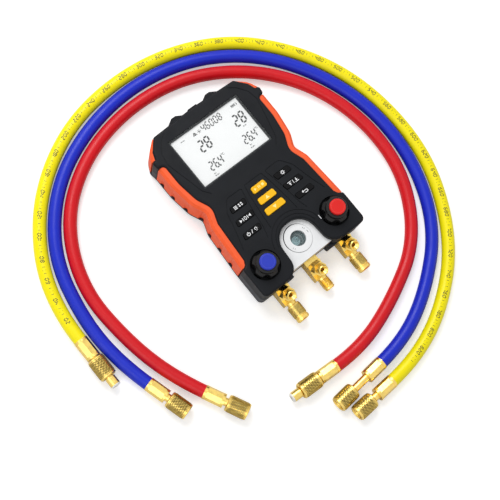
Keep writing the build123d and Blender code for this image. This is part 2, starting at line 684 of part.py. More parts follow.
def rear_case():
    """Lower black shell: floor, battery bay, hanger recess."""
    lower = slab(mirrored(envelope_right()), 0, GRIP_Z)
    rim = [e for e in lower.edges() if e.bounding_box().max.Z < 0.01]
    lower = fillet(rim, BELLY_ROUND)
    shell = lower + slab(shell_outline(with_notch=False), GRIP_Z, SPLIT_HEIGHT)
    shell += top_humps(SPLIT_HEIGHT - HUMP_DROP, SPLIT_HEIGHT)
    above = SPLIT_HEIGHT + PAST
    shell -= slab(mirrored(envelope_right()), FLOOR, above, CAVITY_INSET)
    front_y = MANIFOLD_FRONT_Y - SEAM
    half = MANIFOLD_HALF_WIDTH + SEAM
    shell -= block((-half, half), (front_y, MANIFOLD_BACK_Y + SEAM), (FLOOR, above))
    shell -= block((-THROAT_HALF_WIDTH, THROAT_HALF_WIDTH), (-PAST, front_y), (-PAST, above))
    for x in PORT_XS:
        notch_half = PORT_HALF_WIDTH + SEAM
        shell -= block((x - notch_half, x + notch_half), (-PAST, front_y + PAST), (FLOOR, above))
    shell = add_battery_bay(shell)
    shell = add_hanger_recess(shell)
    for x, y in case_screw_places():
        shell += post(x, y, FLOOR, SPLIT_HEIGHT, BOSS_RADIUS)
    head_top = SCREW_HEAD_LOW + SCREW_HEAD_HEIGHT
    for x, y in case_screw_places() + manifold_screw_places():
        shell -= post(x, y, -PAST, above, SCREW_HOLE_RADIUS)
        shell -= post(x, y, -PAST, head_top, SCREW_HEAD_HOLE_RADIUS)
    shell += post(0, DOOR_SCREW_Y, FLOOR, DOOR_SCREW_TOP + BAY_WALL, BOSS_RADIUS)
    shell -= post(0, DOOR_SCREW_Y, -PAST, DOOR_SCREW_TOP, SCREW_BITE_RADIUS)
    return shell


def case_screw_places():
    """Four screws that join the shells."""
    return [(side * x, y) for x, y in (LOWER_SCREW, UPPER_SCREW) for side in SIDES]


def add_battery_bay(shell):
    """Walled bay that opens through the floor, with a rebate for the door."""
    half = BAY_HALF_WIDTH
    wall = BAY_WALL
    top = CELL_Z + CELL_RADIUS
    walls_y = (BAY_START_Y - wall, BAY_END_Y + wall)
    shell += block((-half - wall, half + wall), walls_y, (FLOOR, top))
    shell -= block((-half, half), (BAY_START_Y, BAY_END_Y), (-PAST, top + PAST))
    shell -= door_shape(SEAM / 2, -PAST)
    return shell


def door_shape(grow, low):
    """The door or, grown by its clearance, its rebate."""
    half = BAY_HALF_WIDTH + DOOR_LIP + grow
    start_y = BAY_START_Y - DOOR_LIP - grow
    end_y = BAY_END_Y + DOOR_LIP + grow
    plate = block((-half, half), (start_y, end_y), (low, DOOR_THICKNESS))
    tab_half = DOOR_TAB_HALF_WIDTH + grow
    return plate + block((-tab_half, tab_half), (BAY_END_Y, end_y + DOOR_TAB), (low, DOOR_THICKNESS))


def add_hanger_recess(shell):
    """Open-ended trough for the hanging hook, closed towards the inside of the case."""
    half = HOOK_WIDTH / 2 + SEAM
    start_y = HOOK_PIN_Y - HOOK_LENGTH - 1
    wall = HOOK_RECESS_WALL
    walls_y = (start_y - wall, CASE_LENGTH - wall - 1)
    shell += block((-half - wall, half + wall), walls_y, (FLOOR / 2, HOOK_RECESS_DEPTH + wall))
    shell -= block((-half, half), (start_y, CASE_LENGTH + PAST), (-PAST, HOOK_RECESS_DEPTH))
    pin_hole = Cylinder(HOOK_PIN_RADIUS + PRESS_GAP, 2 * (half + HOOK_PIN_SEAT))
    shell -= Pos(0, HOOK_PIN_Y, HOOK_PIN_Z) * Rot(0, 90, 0) * pin_hole
    return shell


def side_piece(low_y, high_y, min_x, side):
    """Part of the outline outside the black shells, between two heights along the case."""
    ring = slab(mirrored(envelope_right()), GRIP_Z, GRIP_TOP_Z)
    rim = [e for e in ring.edges() if e.bounding_box().min.Z > GRIP_TOP_Z - 0.01]
    ring = chamfer(rim, GRIP_BEVEL)
    ring -= slab(shell_outline(with_notch=False), GRIP_Z - PAST, GRIP_TOP_Z + PAST)
    keep = block((min_x, CORNER_HALF_WIDTH + PAST), (low_y, high_y), (0, CASE_HEIGHT))
    piece = ring & keep
    return piece if side > 0 else mirror(piece, Plane.YZ)


def grip(side):
    """Rubber side grip with finger notches that fade towards the face."""
    piece = side_piece(GRIP_START_Y + 1.4, GRIP_END_Y + 0.2, 0, 1)
    rise = SCALLOP_TOP_Z - GRIP_Z
    lean = degrees(atan2(SCALLOP_BITE, rise))
    length = 3 * rise
    for y in SCALLOP_YS:
        x = outline_x(y) + SCALLOP_RADIUS - SCALLOP_BITE
        cutter = Rot(0, lean, 0) * Cylinder(SCALLOP_RADIUS, length)
        piece -= Pos(x, y, GRIP_Z) * cutter
    return piece if side > 0 else mirror(piece, Plane.YZ)


def corner_bumpers():
    """Rubber inserts at the two upper corners."""
    start_y = CORNER_Y + 2 * SEAM
    min_x = CORNER_HALF_WIDTH - BUMPER_REACH
    return Compound([side_piece(start_y, CASE_LENGTH + PAST, min_x, side) for side in SIDES])


def probe_sockets():
    """Round sensor sockets in the humps of the top edge."""
    sockets = []
    for side in SIDES:
        plane = socket_plane(side)
        outer = SOCKET_RADIUS - PRESS_GAP
        body = along([(SOCKET_SINK, outer), (SOCKET_DEPTH, outer)], plane)
        body -= along([(-PAST, SOCKET_BORE), (SOCKET_DEPTH - SOCKET_FLOOR, SOCKET_BORE)], plane)
        sockets.append(body)
    return Compound(sockets)


def battery_door():
    """Door over the cells, held by one screw in its tongue."""
    head_top = DOOR_SCREW_LOW + DOOR_SCREW_HEAD
    door = door_shape(0, 0)
    door -= post(0, DOOR_SCREW_Y, -PAST, DOOR_THICKNESS + PAST, SCREW_HOLE_RADIUS)
    return door - post(0, DOOR_SCREW_Y, -PAST, head_top, SCREW_HEAD_HOLE_RADIUS)


def cell_xs():
    """Middle of each cell."""
    first = -(CELL_COUNT - 1) / 2 * CELL_PITCH
    return [first + i * CELL_PITCH for i in range(CELL_COUNT)]


def batteries():
    """Round cells side by side, each second one turned round."""
    cells = []
    for i, x in enumerate(cell_xs()):
        start = (x, BAY_START_Y + CONTACT_ROOM, CELL_Z)
        end = (x, BAY_START_Y + CONTACT_ROOM + CELL_LENGTH, CELL_Z)
        origin, way = (start, 1) if i % 2 == 0 else (end, -1)
        plane = Plane(origin=origin, x_dir=(1, 0, 0), z_dir=(0, way, 0))
        body = CELL_LENGTH - CELL_NUB_HEIGHT
        steps = [
            (0, CELL_RADIUS), (body, CELL_RADIUS),
            (body, CELL_NUB_RADIUS), (CELL_LENGTH, CELL_NUB_RADIUS),
        ]
        cells.append(along(steps, plane))
    return Compound(cells)


def battery_contacts():
    """Conical springs and stud plates at the ends of the cells."""
    contacts = []
    for i, x in enumerate(cell_xs()):
        for end in (0, 1):
            wall_y = BAY_END_Y if end else BAY_START_Y
            way = -1 if end else 1
            plane = Plane(origin=(x, wall_y, CELL_Z), x_dir=(1, 0, 0), z_dir=(0, way, 0))
            plate = along([(0, CONTACT_PLATE_RADIUS), (CONTACT_PLATE, CONTACT_PLATE_RADIUS)], plane)
            spring_end = (i % 2 == 0) == (end == 0)
            base = SPRING_BASE_RADIUS if spring_end else STUD_RADIUS
            tip = SPRING_TIP_RADIUS if spring_end else STUD_RADIUS
            contacts.append(plate + along([(CONTACT_PLATE, base), (CONTACT_ROOM, tip)], plane))
    return Compound(contacts)


def screw(x, y, low, head_height, top):
    """Pan-head screw with a cross recess, driven upwards from the back."""
    body = post(x, y, low, low + head_height, SCREW_HEAD_RADIUS)
    body += post(x, y, low, top, SCREW_RADIUS)
    arm, half = CROSS_ARM, CROSS_HALF_WIDTH
    recess = (low - PAST, low + CROSS_SHARE * head_height)
    for reach_x, reach_y in ((arm, half), (half, arm)):
        body -= block((x - reach_x, x + reach_x), (y - reach_y, y + reach_y), recess)
    return body


def case_screws():
    """Screws through the back into the front shell, and the door's screw."""
    places = case_screw_places()
    screws = [screw(x, y, SCREW_HEAD_LOW, SCREW_HEAD_HEIGHT, CASE_SCREW_TOP) for x, y in places]
    top = DOOR_SCREW_TOP - SEAM
    screws.append(screw(0, DOOR_SCREW_Y, DOOR_SCREW_LOW, DOOR_SCREW_HEAD, top))
    return Compound(screws)


def hanging_hook():
    """Flat hanger that folds out of the back over the top edge."""
    half = HOOK_WIDTH / 2
    end_y = HOOK_PIN_Y - HOOK_LENGTH
    low, high = HOOK_PIN_Z - HOOK_BAR / 2, HOOK_PIN_Z + HOOK_BAR / 2
    outer = mirrored([(half, end_y, HOOK_END_ROUND), (half, HOOK_PIN_Y, 0.5)])
    loop_half, loop_top = half - HOOK_BAR, HOOK_PIN_Y - HOOK_LOOP_BELOW_PIN
    inner = mirrored([(loop_half, end_y + HOOK_BAR, HOOK_END_ROUND / 2), (loop_half, loop_top, 2)])
    hook = slab(outer, low, high) - slab(inner, low - PAST, high + PAST)
    across = Pos(0, HOOK_PIN_Y, HOOK_PIN_Z) * Rot(0, 90, 0)
    hook += across * Cylinder(HOOK_PIN_RADIUS + HOOK_KNUCKLE_WALL, HOOK_WIDTH)
    return hook - across * Cylinder(HOOK_PIN_RADIUS + PRESS_GAP, HOOK_WIDTH + PAST)


def hook_pin():
    """Pin across the hanger recess."""
    length = HOOK_WIDTH + 2 * HOOK_PIN_SEAT
    return Pos(0, HOOK_PIN_Y, HOOK_PIN_Z) * Rot(0, 90, 0) * Cylinder(HOOK_PIN_RADIUS, length)


# ---- display and electronics ------------------------------------------------------------
def lcd_lens():
    """Clear plate over the display."""
    width = WINDOW_WIDTH + 2 * LENS_BORDER - SEAM
    height = WINDOW_HEIGHT + 2 * LENS_BORDER - SEAM
    low = CASE_HEIGHT - LENS_SINK - LENS_THICKNESS
    return centred_block(width, height, low, low + LENS_THICKNESS)


def lcd_module():
    """Display panel on its backlight, pressed against the underside of the face."""
    width = WINDOW_WIDTH + 2 * MODULE_BORDER
    height = WINDOW_HEIGHT + 2 * MODULE_BORDER
    return centred_block(width, height, BOARD_TOP_Z, CEILING_Z)


def circuit_board():
    """Main board under the display and the keys."""
    half = BOARD_HALF_WIDTH
    end_y = CASE_LENGTH - BOARD_END_BELOW
    return block((-half, half), (BOARD_START_Y, end_y), (BOARD_TOP_Z - BOARD_THICKNESS, BOARD_TOP_Z))


def board_components():
    """Chips, connector and sounder on the underside of the board."""
    top = BOARD_TOP_Z - BOARD_THICKNESS
    middle = (BOARD_START_Y + CASE_LENGTH - BOARD_END_BELOW) / 2
    half = CHIP_HALF
    chip = block((-half, half), (middle - half, middle + half), (top - CHIP_HEIGHT, top))
    memory_x = (half + 4, 2 * half + 6)
    memory = block(memory_x, (middle - 4, middle + 2), (top - CHIP_HEIGHT, top))
    connector_y = (BOARD_START_Y + 3, BOARD_START_Y + 3 + CONNECTOR_DEPTH)
    connector = block(CONNECTOR_X, connector_y, (top - CONNECTOR_HEIGHT, top))
    sounder = post(SOUNDER_X, middle + 16, top - SOUNDER_HEIGHT, top, SOUNDER_RADIUS)
    return Compound([chip, memory, connector, sounder])


def keypad_membrane():
    """Silicone mat between the keys and the board."""
    low_y = min(KEY_ROW_YS) - KEY_HALF_HEIGHT - MEMBRANE_BORDER
    high_y = max(YELLOW_ROW_YS) + YELLOW_HALF_HEIGHT + MEMBRANE_BORDER
    half = BOARD_HALF_WIDTH
    return block((-half, half), (low_y, high_y), (BOARD_TOP_Z, BOARD_TOP_Z + MEMBRANE_THICKNESS))


def key(corners, rise):
    """Key with a flange that keeps it under the face."""
    foot = BOARD_TOP_Z + MEMBRANE_THICKNESS + KEY_TRAVEL + KEY_FOOT_GAP
    top = CASE_HEIGHT + rise
    cap = slab(corners, foot, top)
    rim = [e for e in cap.edges() if e.bounding_box().min.Z > top - 0.01]
    cap = fillet(rim, KEY_EDGE_ROUND)
    flange_top = CEILING_Z - KEY_FLANGE_GAP
    return cap + slab(corners, flange_top - KEY_FLANGE_THICKNESS, flange_top, -KEY_FLANGE)


# ---- manifold and valves ----------------------------------------------------------------
def manifold_block():
    """Aluminium block with the sight bore, two valve bores and three port passages."""
    half, back = MANIFOLD_HALF_WIDTH, MANIFOLD_BACK_Y
    body = block((-half, half), (MANIFOLD_FRONT_Y, back), (MANIFOLD_Z, MANIFOLD_TOP))
    pad_x = (-PAD_HALF_WIDTH, PAD_HALF_WIDTH)
    body += block(pad_x, (MANIFOLD_FRONT_Y, back), (MANIFOLD_TOP - PAST, PAD_TOP))
    ring_floor = SIGHT_RING_TOP - SIGHT_RING_THICKNESS
    glass_low = ring_floor - GLASS_THICKNESS
    body -= post(0, SIGHT_Y, ring_floor, PAD_TOP + PAST, SIGHT_RING_RADIUS + SIGHT_GAP)
    body -= post(0, SIGHT_Y, glass_low, ring_floor + PAST, GLASS_RADIUS + PRESS_GAP)
    body -= post(0, SIGHT_Y, PLUNGER_FOOT_Z, ring_floor, SIGHT_BORE_RADIUS)
    gallery = Cylinder(GALLERY_RADIUS, 2 * VALVE_X)
    body -= Pos(0, VALVE_Y, PORT_AXIS_Z) * Rot(0, 90, 0) * gallery
    for side in SIDES:
        bore = SPINDLE_RADIUS + SPINDLE_CLEARANCE
        bore_low = SPINDLE_TIP_Z - SPINDLE_END_GAP
        body -= post(side * VALVE_X, VALVE_Y, bore_low, MANIFOLD_TOP + PAST, bore)
    for x in PORT_XS:
        length = VALVE_Y - MANIFOLD_FRONT_Y + PAST
        passage = Pos(x, VALVE_Y - length / 2, PORT_AXIS_Z) * Rot(90, 0, 0)
        body -= passage * Cylinder(FLARE_BORE_RADIUS, length)
    for x, y in manifold_screw_places():
        screw_top = MANIFOLD_Z + MANIFOLD_SCREW_BITE
        body -= post(x, y, MANIFOLD_Z - PAST, screw_top + PAST, SCREW_BITE_RADIUS)
    return body


def manifold_screw_places():
    """Screws through the floor into the block."""
    x = MANIFOLD_HALF_WIDTH - MANIFOLD_SCREW_INSET
    return [(side * x, MANIFOLD_BACK_Y - MANIFOLD_SCREW_INSET) for side in SIDES]


def manifold_screws():
    """Two screws that hold the block to the floor."""
    top = MANIFOLD_Z + MANIFOLD_SCREW_BITE
    places = manifold_screw_places()
    return Compound([screw(x, y, SCREW_HEAD_LOW, SCREW_HEAD_HEIGHT, top) for x, y in places])


def sight_ring():
    """Ring that clamps the sight glass."""
    low = SIGHT_RING_TOP - SIGHT_RING_THICKNESS
    ring = post(0, SIGHT_Y, low, SIGHT_RING_TOP, SIGHT_RING_RADIUS)
    return ring - post(0, SIGHT_Y, low - PAST, SIGHT_RING_TOP + PAST, SIGHT_BORE_RADIUS)


def sight_glass():
    """Round glass over the sight bore."""
    high = SIGHT_RING_TOP - SIGHT_RING_THICKNESS
    return post(0, SIGHT_Y, high - GLASS_THICKNESS, high, GLASS_RADIUS)


def sight_plunger():
    """Stepped steel insert at the bottom of the sight bore."""
    steps = [
        (0, PLUNGER_RADIUS), (PLUNGER_STEP_Z - PLUNGER_FOOT_Z, PLUNGER_RADIUS),
        (PLUNGER_STEP_Z - PLUNGER_FOOT_Z, PLUNGER_STEP_RADIUS),
        (PLUNGER_TOP - PLUNGER_FOOT_Z, PLUNGER_STEP_RADIUS),
    ]
    body = along(steps, Plane(origin=(0, SIGHT_Y, PLUNGER_FOOT_Z)))
    depth = PLUNGER_HEX_DEPTH
    return body - Pos(0, SIGHT_Y, PLUNGER_TOP - depth) * hexagon(PLUNGER_HEX, 0, depth + PAST)


def pressure_sensors():
    """Two sensors screwed into the back of the block."""
    sensors = []
    for side in SIDES:
        origin = (side * SENSOR_X, MANIFOLD_BACK_Y, MANIFOLD_Z + SENSOR_RISE)
        plane = Plane(origin=origin, x_dir=(1, 0, 0), z_dir=(0, 1, 0))
        steps = [
            (0, SENSOR_RADIUS), (SENSOR_COLLAR, SENSOR_RADIUS),
            (SENSOR_COLLAR, SENSOR_BODY_RADIUS), (SENSOR_LENGTH, SENSOR_BODY_RADIUS),
        ]
        sensors.append(along(steps, plane))
    return Compound(sensors)


def valve_spindle(side):
    """Valve stem, from its seat in the block up into the knob."""
    plane = Plane(origin=(side * VALVE_X, VALVE_Y, SPINDLE_TIP_Z))
    length = SPINDLE_TOP_Z - SPINDLE_TIP_Z
    steps = [(0, SPINDLE_CONE_RADIUS), (SPINDLE_CONE, SPINDLE_RADIUS), (length, SPINDLE_RADIUS)]
    return along(steps, plane)


def packing_nuts():
    """Hexagon nuts on the block that seal the stems."""
    nuts = []
    height = PACKING_TOP_Z - MANIFOLD_TOP
    for side in SIDES:
        nut = hexagon(PACKING_ACROSS_FLATS, 0, height)
        nut -= Cylinder(SPINDLE_RADIUS + SPINDLE_CLEARANCE, 3 * height)
        nuts.append(Pos(side * VALVE_X, VALVE_Y, MANIFOLD_TOP) * nut)
    return Compound(nuts)


def knob(side):
    """Lobed hand wheel with a collar round its coloured cap."""
    height = KNOB_TOP_Z - KNOB_FOOT_Z
    skirt = KNOB_SKIRT_TOP_Z - KNOB_FOOT_Z
    steps = [
        (0, KNOB_SKIRT_RADIUS), (skirt, KNOB_SKIRT_RADIUS),
        (skirt + KNOB_SHOULDER, KNOB_COLLAR_RADIUS),
        (height - KNOB_EDGE, KNOB_COLLAR_RADIUS), (height, KNOB_COLLAR_RADIUS - KNOB_EDGE),
    ]
    body = along(steps, Plane.XY)
    for i in range(KNOB_LOBES):
        angle = 2 * pi * i / KNOB_LOBES + pi / 2
        reach = KNOB_SKIRT_RADIUS + KNOB_LOBE_RADIUS - KNOB_LOBE_BITE
        lobe_top = skirt + KNOB_SHOULDER + PAST
        body -= post(reach * cos(angle), reach * sin(angle), -PAST, lobe_top, KNOB_LOBE_RADIUS)
    body -= post(0, 0, -PAST, KNOB_HOLLOW_TOP_Z - KNOB_FOOT_Z, KNOB_HOLLOW_RADIUS)
    bore_top = SPINDLE_TOP_Z + SPINDLE_HEAD_GAP - KNOB_FOOT_Z
    body -= post(0, 0, -PAST, bore_top, SPINDLE_RADIUS + SPINDLE_CLEARANCE)
    body -= post(0, 0, height - CAP_SEAT, height + PAST, CAP_RADIUS)
    return Pos(side * VALVE_X, VALVE_Y, KNOB_FOOT_Z) * body


def knob_cap(side):
    """Coloured disc in the top of a knob."""
    low = KNOB_TOP_Z - CAP_SEAT
    disc = post(side * VALVE_X, VALVE_Y, low, low + CAP_HEIGHT, CAP_RADIUS)
    rim = [e for e in disc.edges() if e.bounding_box().min.Z > low + CAP_HEIGHT - 0.01]
    return fillet(rim, CAP_EDGE_ROUND)


# ---- ports ------------------------------------------------------------------------------
def front_plane(x, reach):
    """Plane across a port's axis, facing the front, at a distance in front of the ears."""
    return Plane(origin=(x, -reach, PORT_AXIS_Z), x_dir=(1, 0, 0), z_dir=(0, -1, 0))


def nozzle_plane(x):
    """Plane at the seat of a service nozzle, facing along it."""
    tilt = radians(NOZZLE_TILT)
    return Plane(origin=(x, NOZZLE_Y, NOZZLE_Z), x_dir=(1, 0, 0), z_dir=(0, -cos(tilt), sin(tilt)))


def port_body(x):
    """Brass block with its male flare and the sloping seat of the service nozzle."""
    tilt = radians(NOZZLE_TILT)
    seat_y = NOZZLE_Y - NOZZLE_HEX_START * cos(tilt)
    seat_z = NOZZLE_Z + NOZZLE_HEX_START * sin(tilt)
    lower = (PORT_BLOCK_FRONT_TOP - seat_z) / cos(tilt)
    upper = NOZZLE_SEAT_SHARE * NOZZLE_HEX / 2
    side = [
        (MANIFOLD_FRONT_Y, MANIFOLD_Z), (MANIFOLD_FRONT_Y, PORT_BLOCK_TOP),
        (seat_y + upper * sin(tilt), PORT_BLOCK_TOP),
        (seat_y + upper * sin(tilt), seat_z + upper * cos(tilt)),
        (seat_y + lower * sin(tilt), PORT_BLOCK_FRONT_TOP),
        (-PORT_BLOCK_REACH, PORT_BLOCK_FRONT_TOP), (-PORT_BLOCK_REACH, MANIFOLD_Z),
    ]
    face = make_face(Polyline(*[(x - PORT_HALF_WIDTH, y, z) for y, z in side], close=True))
    body = extrude(face, amount=2 * PORT_HALF_WIDTH, dir=(1, 0, 0))
    length = PORT_REACH - PORT_BLOCK_REACH
    steps = [
        (0, FLARE_NECK_RADIUS), (FLARE_NECK_LENGTH, FLARE_NECK_RADIUS),
        (FLARE_NECK_LENGTH, FLARE_RADIUS),
        (length - FLARE_CONE, FLARE_RADIUS), (length, FLARE_RADIUS - FLARE_CONE),
    ]
    body += along(steps, front_plane(x, PORT_BLOCK_REACH))
    depth = PORT_REACH + MANIFOLD_FRONT_Y
    bore = [(-depth - PAST, FLARE_BORE_RADIUS), (PAST, FLARE_BORE_RADIUS)]
    return body - along(bore, front_plane(x, PORT_REACH))


def port_nozzles():
    """Service nozzles: a hexagon, two grooved collars and a conical mouth."""
    nozzles = []
    for x in PORT_XS:
        plane = nozzle_plane(x)
        body = plane * hexagon(NOZZLE_HEX, NOZZLE_HEX_START, NOZZLE_HEX_END - NOZZLE_HEX_START)
        end = NOZZLE_LENGTH
        waist = NOZZLE_HEX_END + NOZZLE_WAIST
        groove_start = waist + NOZZLE_COLLAR
        groove_end = groove_start + NOZZLE_GROOVE
        steps = [
            (NOZZLE_HEX_END, NOZZLE_WAIST_RADIUS), (waist, NOZZLE_WAIST_RADIUS),
            (waist, NOZZLE_RADIUS), (groove_start, NOZZLE_RADIUS),
            (groove_start, NOZZLE_WAIST_RADIUS), (groove_end, NOZZLE_WAIST_RADIUS),
            (groove_end, NOZZLE_RADIUS), (end - NOZZLE_TIP_CHAMFER, NOZZLE_RADIUS),
            (end, NOZZLE_NECK_RADIUS),
        ]
        body += along(steps, plane)
        mouth = NOZZLE_NECK_RADIUS - NOZZLE_LIP
        cone_start = end - (mouth - NOZZLE_BORE_RADIUS)
        bore = [(0, NOZZLE_BORE_RADIUS), (cone_start, NOZZLE_BORE_RADIUS), (end, mouth)]
        body -= along(bore + [(end + PRESS_GAP, mouth)], plane)
        nozzles.append(body)
    return Compound(nozzles)


def dust_cap(side):
    """Knurled cap screwed on a male flare."""
    plane = front_plane(side * PORT_SPACING, CAP_START)
    length = CAP_END - CAP_START
    radius = DUST_CAP_RADIUS
    steps = [
        (0, radius - DUST_CAP_LIP), (DUST_CAP_LIP, radius),
        (length - DUST_CAP_CHAMFER, radius), (length, radius - DUST_CAP_CHAMFER),
    ]
    bore = [(-PAST, THREAD_BORE), (length - DUST_CAP_WALL, THREAD_BORE)]
    return along(steps, plane) - along(bore, plane)


# ---- hoses --------------------------------------------------------------------------------
def hose(colour):
    """Hose between its ferrules: straight runs joined by tangent arcs."""
    points = [Vector(*p) for p in HOSE_ROUTES[colour]]
    radii = []
    for before, here, after in zip(points, points[1:], points[2:]):
        turn = radians((here - before).get_angle(after - here))
        radii.append(0.45 * min((here - before).length, (after - here).length) / tan(turn / 2))
    path = FilletPolyline(*points, radius=radii, close=False)
    start = Plane(origin=path @ 0, z_dir=path % 0)
    tube = sweep(start * Circle(HOSE_DIAMETER / 2), Wire(path.edges()))
    section = pi * HOSE_DIAMETER ** 2 / 4
    ratio = tube.volume / section / path.length
    print(colour, "arc radii", [round(r) for r in radii])
    print(colour, "length", round(path.length, 1), "volume ratio", round(ratio, 4))
    return tube


def end_plane(colour, end):
    """Plane at a hose's left (0) or right (1) end, facing out of it."""
    route = HOSE_ROUTES[colour]
    tip, inner = (route[0], route[1]) if end == 0 else (route[-1], route[-2])
    return Plane(origin=tip, z_dir=Vector(*tip) - Vector(*inner))


def stub_length(colour, end):
    """Ferrule to tip of a hose end's stub, and the length of its head."""
    is_long = HOSE_ENDS[colour][end][0]
    return (LONG_STUB, LONG_HEAD) if is_long else (SHORT_STUB, SHORT_HEAD)


def ferrules(colour):
    """Crimped ferrule and stub at both ends of a hose."""
    pieces = []
    for end in (0, 1):
        plane = end_plane(colour, end)
        length, head = stub_length(colour, end)
        ferrule = along([(0, FERRULE_RADIUS), (FERRULE_LENGTH, FERRULE_RADIUS)], plane)
        flats = RegularPolygon(FERRULE_FLATS / 2, 8, major_radius=False)
        band = FERRULE_LENGTH - 2 * FERRULE_COLLAR
        sleeve = extrude(Circle(FERRULE_RADIUS + PAST) - flats, amount=band)
        ferrule -= plane * Pos(0, 0, FERRULE_COLLAR) * sleeve
        socket = FERRULE_LENGTH - STUB_SOCKET
        seat = [(socket, STUB_NECK_RADIUS), (FERRULE_LENGTH + PAST, STUB_NECK_RADIUS)]
        ferrule -= along(seat, plane)
        tip = FERRULE_LENGTH + length - SEAL_THICKNESS
        neck_end = FERRULE_LENGTH + length - head
        steps = [
            (socket, STUB_NECK_RADIUS), (neck_end, STUB_NECK_RADIUS),
            (neck_end, STUB_HEAD_RADIUS), (tip, STUB_HEAD_RADIUS),
        ]
        stub = along(steps, plane)
        bore = [(tip - STUB_BORE_DEPTH, STUB_BORE_RADIUS), (tip + PAST, STUB_BORE_RADIUS)]
        stub -= along(bore, plane)
        pieces += [ferrule, stub]
    return Compound(pieces)


def hose_nut(colour, end):
    """Knurled coupling nut, loose on the stub of a hose end."""
    start = FERRULE_LENGTH + HOSE_ENDS[colour][end][1]
    far = start + NUT_LENGTH
    radius, edge = NUT_RADIUS, NUT_CHAMFER
    steps = [
        (start, radius - edge), (start + edge, radius), (far - edge, radius), (far, radius - edge),
    ]
    plane = end_plane(colour, end)
    nut = along(steps, plane)
    nut -= along([(start + NUT_WALL, THREAD_BORE), (far + PAST, THREAD_BORE)], plane)
    neck = STUB_NECK_RADIUS + THREAD_CLEARANCE
    return nut - along([(start - PAST, neck), (far, neck)], plane)


def hose_seals():
    """White sealing ring on the tip of every stub."""
    seals = []
    for colour in HOSE_ROUTES:
        for end in (0, 1):
            far = FERRULE_LENGTH + stub_length(colour, end)[0]
            low = far - SEAL_THICKNESS
            plane = end_plane(colour, end)
            steps = [
                (low, SEAL_RADIUS), (far - SEAL_EDGE, SEAL_RADIUS), (far, SEAL_RADIUS - SEAL_EDGE),
            ]
            bore = [(low - PAST, STUB_BORE_RADIUS), (far + PAST, STUB_BORE_RADIUS)]
            seals.append(along(steps, plane) - along(bore, plane))
    return Compound(seals)


def core_depressors():
    """Pin with a foot in the bore of every short stub."""
    pins = []
    for colour, ends in HOSE_ENDS.items():
        for end in (0, 1):
            if ends[end][0]:
                continue
            tip = FERRULE_LENGTH + SHORT_STUB
            foot = tip - SEAL_THICKNESS - STUB_BORE_DEPTH
            foot_top = foot + DEPRESSOR_FOOT
            foot_radius = STUB_BORE_RADIUS - PRESS_GAP
            steps = [
                (foot, foot_radius), (foot_top, foot_radius),
                (foot_top, DEPRESSOR_RADIUS), (tip + DEPRESSOR_PROUD, DEPRESSOR_RADIUS),
            ]
            pins.append(along(steps, end_plane(colour, end)))
    return Compound(pins)


# ---- every node -----------------------------------------------------------------------------
def gauge_nodes():
    """Pieces of the gauge itself, before the shift to the shared origin."""
    nodes = {
        "front_case": front_case(),
        "rear_case": rear_case(),
        "grip_left": grip(-1),
        "grip_right": grip(1),
        "corner_bumpers": corner_bumpers(),
        "probe_sockets": probe_sockets(),
        "battery_door": battery_door(),
        "batteries": batteries(),
        "battery_contacts": battery_contacts(),
        "case_screws": case_screws(),
        "hanging_hook": hanging_hook(),
        "hook_pin": hook_pin(),
        "lcd_lens": lcd_lens(),
        "lcd_module": lcd_module(),
        "circuit_board": circuit_board(),
        "board_components": board_components(),
        "keypad_membrane": keypad_membrane(),
        "manifold_block": manifold_block(),
        "manifold_screws": manifold_screws(),
        "sight_ring": sight_ring(),
        "sight_glass": sight_glass(),
        "sight_plunger": sight_plunger(),
        "pressure_sensors": pressure_sensors(),
        "packing_nuts": packing_nuts(),
        "port_nozzles": port_nozzles(),
    }
    for name, corners, rise in all_keys():
        nodes[name] = key(corners, rise)
    for side, word in ((-1, "low"), (1, "high")):
        nodes["valve_spindle_" + word] = valve_spindle(side)
        nodes["knob_" + word] = knob(side)
        nodes["cap_" + word] = knob_cap(side)
    for x, word in zip(PORT_XS, ("left", "middle", "right")):
        nodes["port_body_" + word] = port_body(x)
    for side, word in ((-1, "left"), (1, "right")):
        nodes["dust_cap_" + word] = dust_cap(side)
    return nodes


def hose_nodes():
    """Hoses with their fittings, already at the shared origin."""
    nodes = {"hose_seals": hose_seals(), "core_depressors": core_depressors()}
    for colour in HOSE_ROUTES:
        nodes["hose_" + colour] = hose(colour)
        nodes["ferrules_" + colour] = ferrules(colour)
        for end, word in ((0, "a"), (1, "b")):
            nodes["nut_" + colour + "_" + word] = hose_nut(colour, end)
    return nodes


os.makedirs("parts", exist_ok=True)
for node, shape in gauge_nodes().items():
    export_step(Pos(0, GAUGE_SHIFT, 0) * shape, "parts/" + node + ".step")
for node, shape in hose_nodes().items():
    export_step(shape, "parts/" + node + ".step")
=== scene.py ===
from math import cos, hypot, pi, radians, sin

import bmesh
import bpy
from mathutils import Matrix, Vector


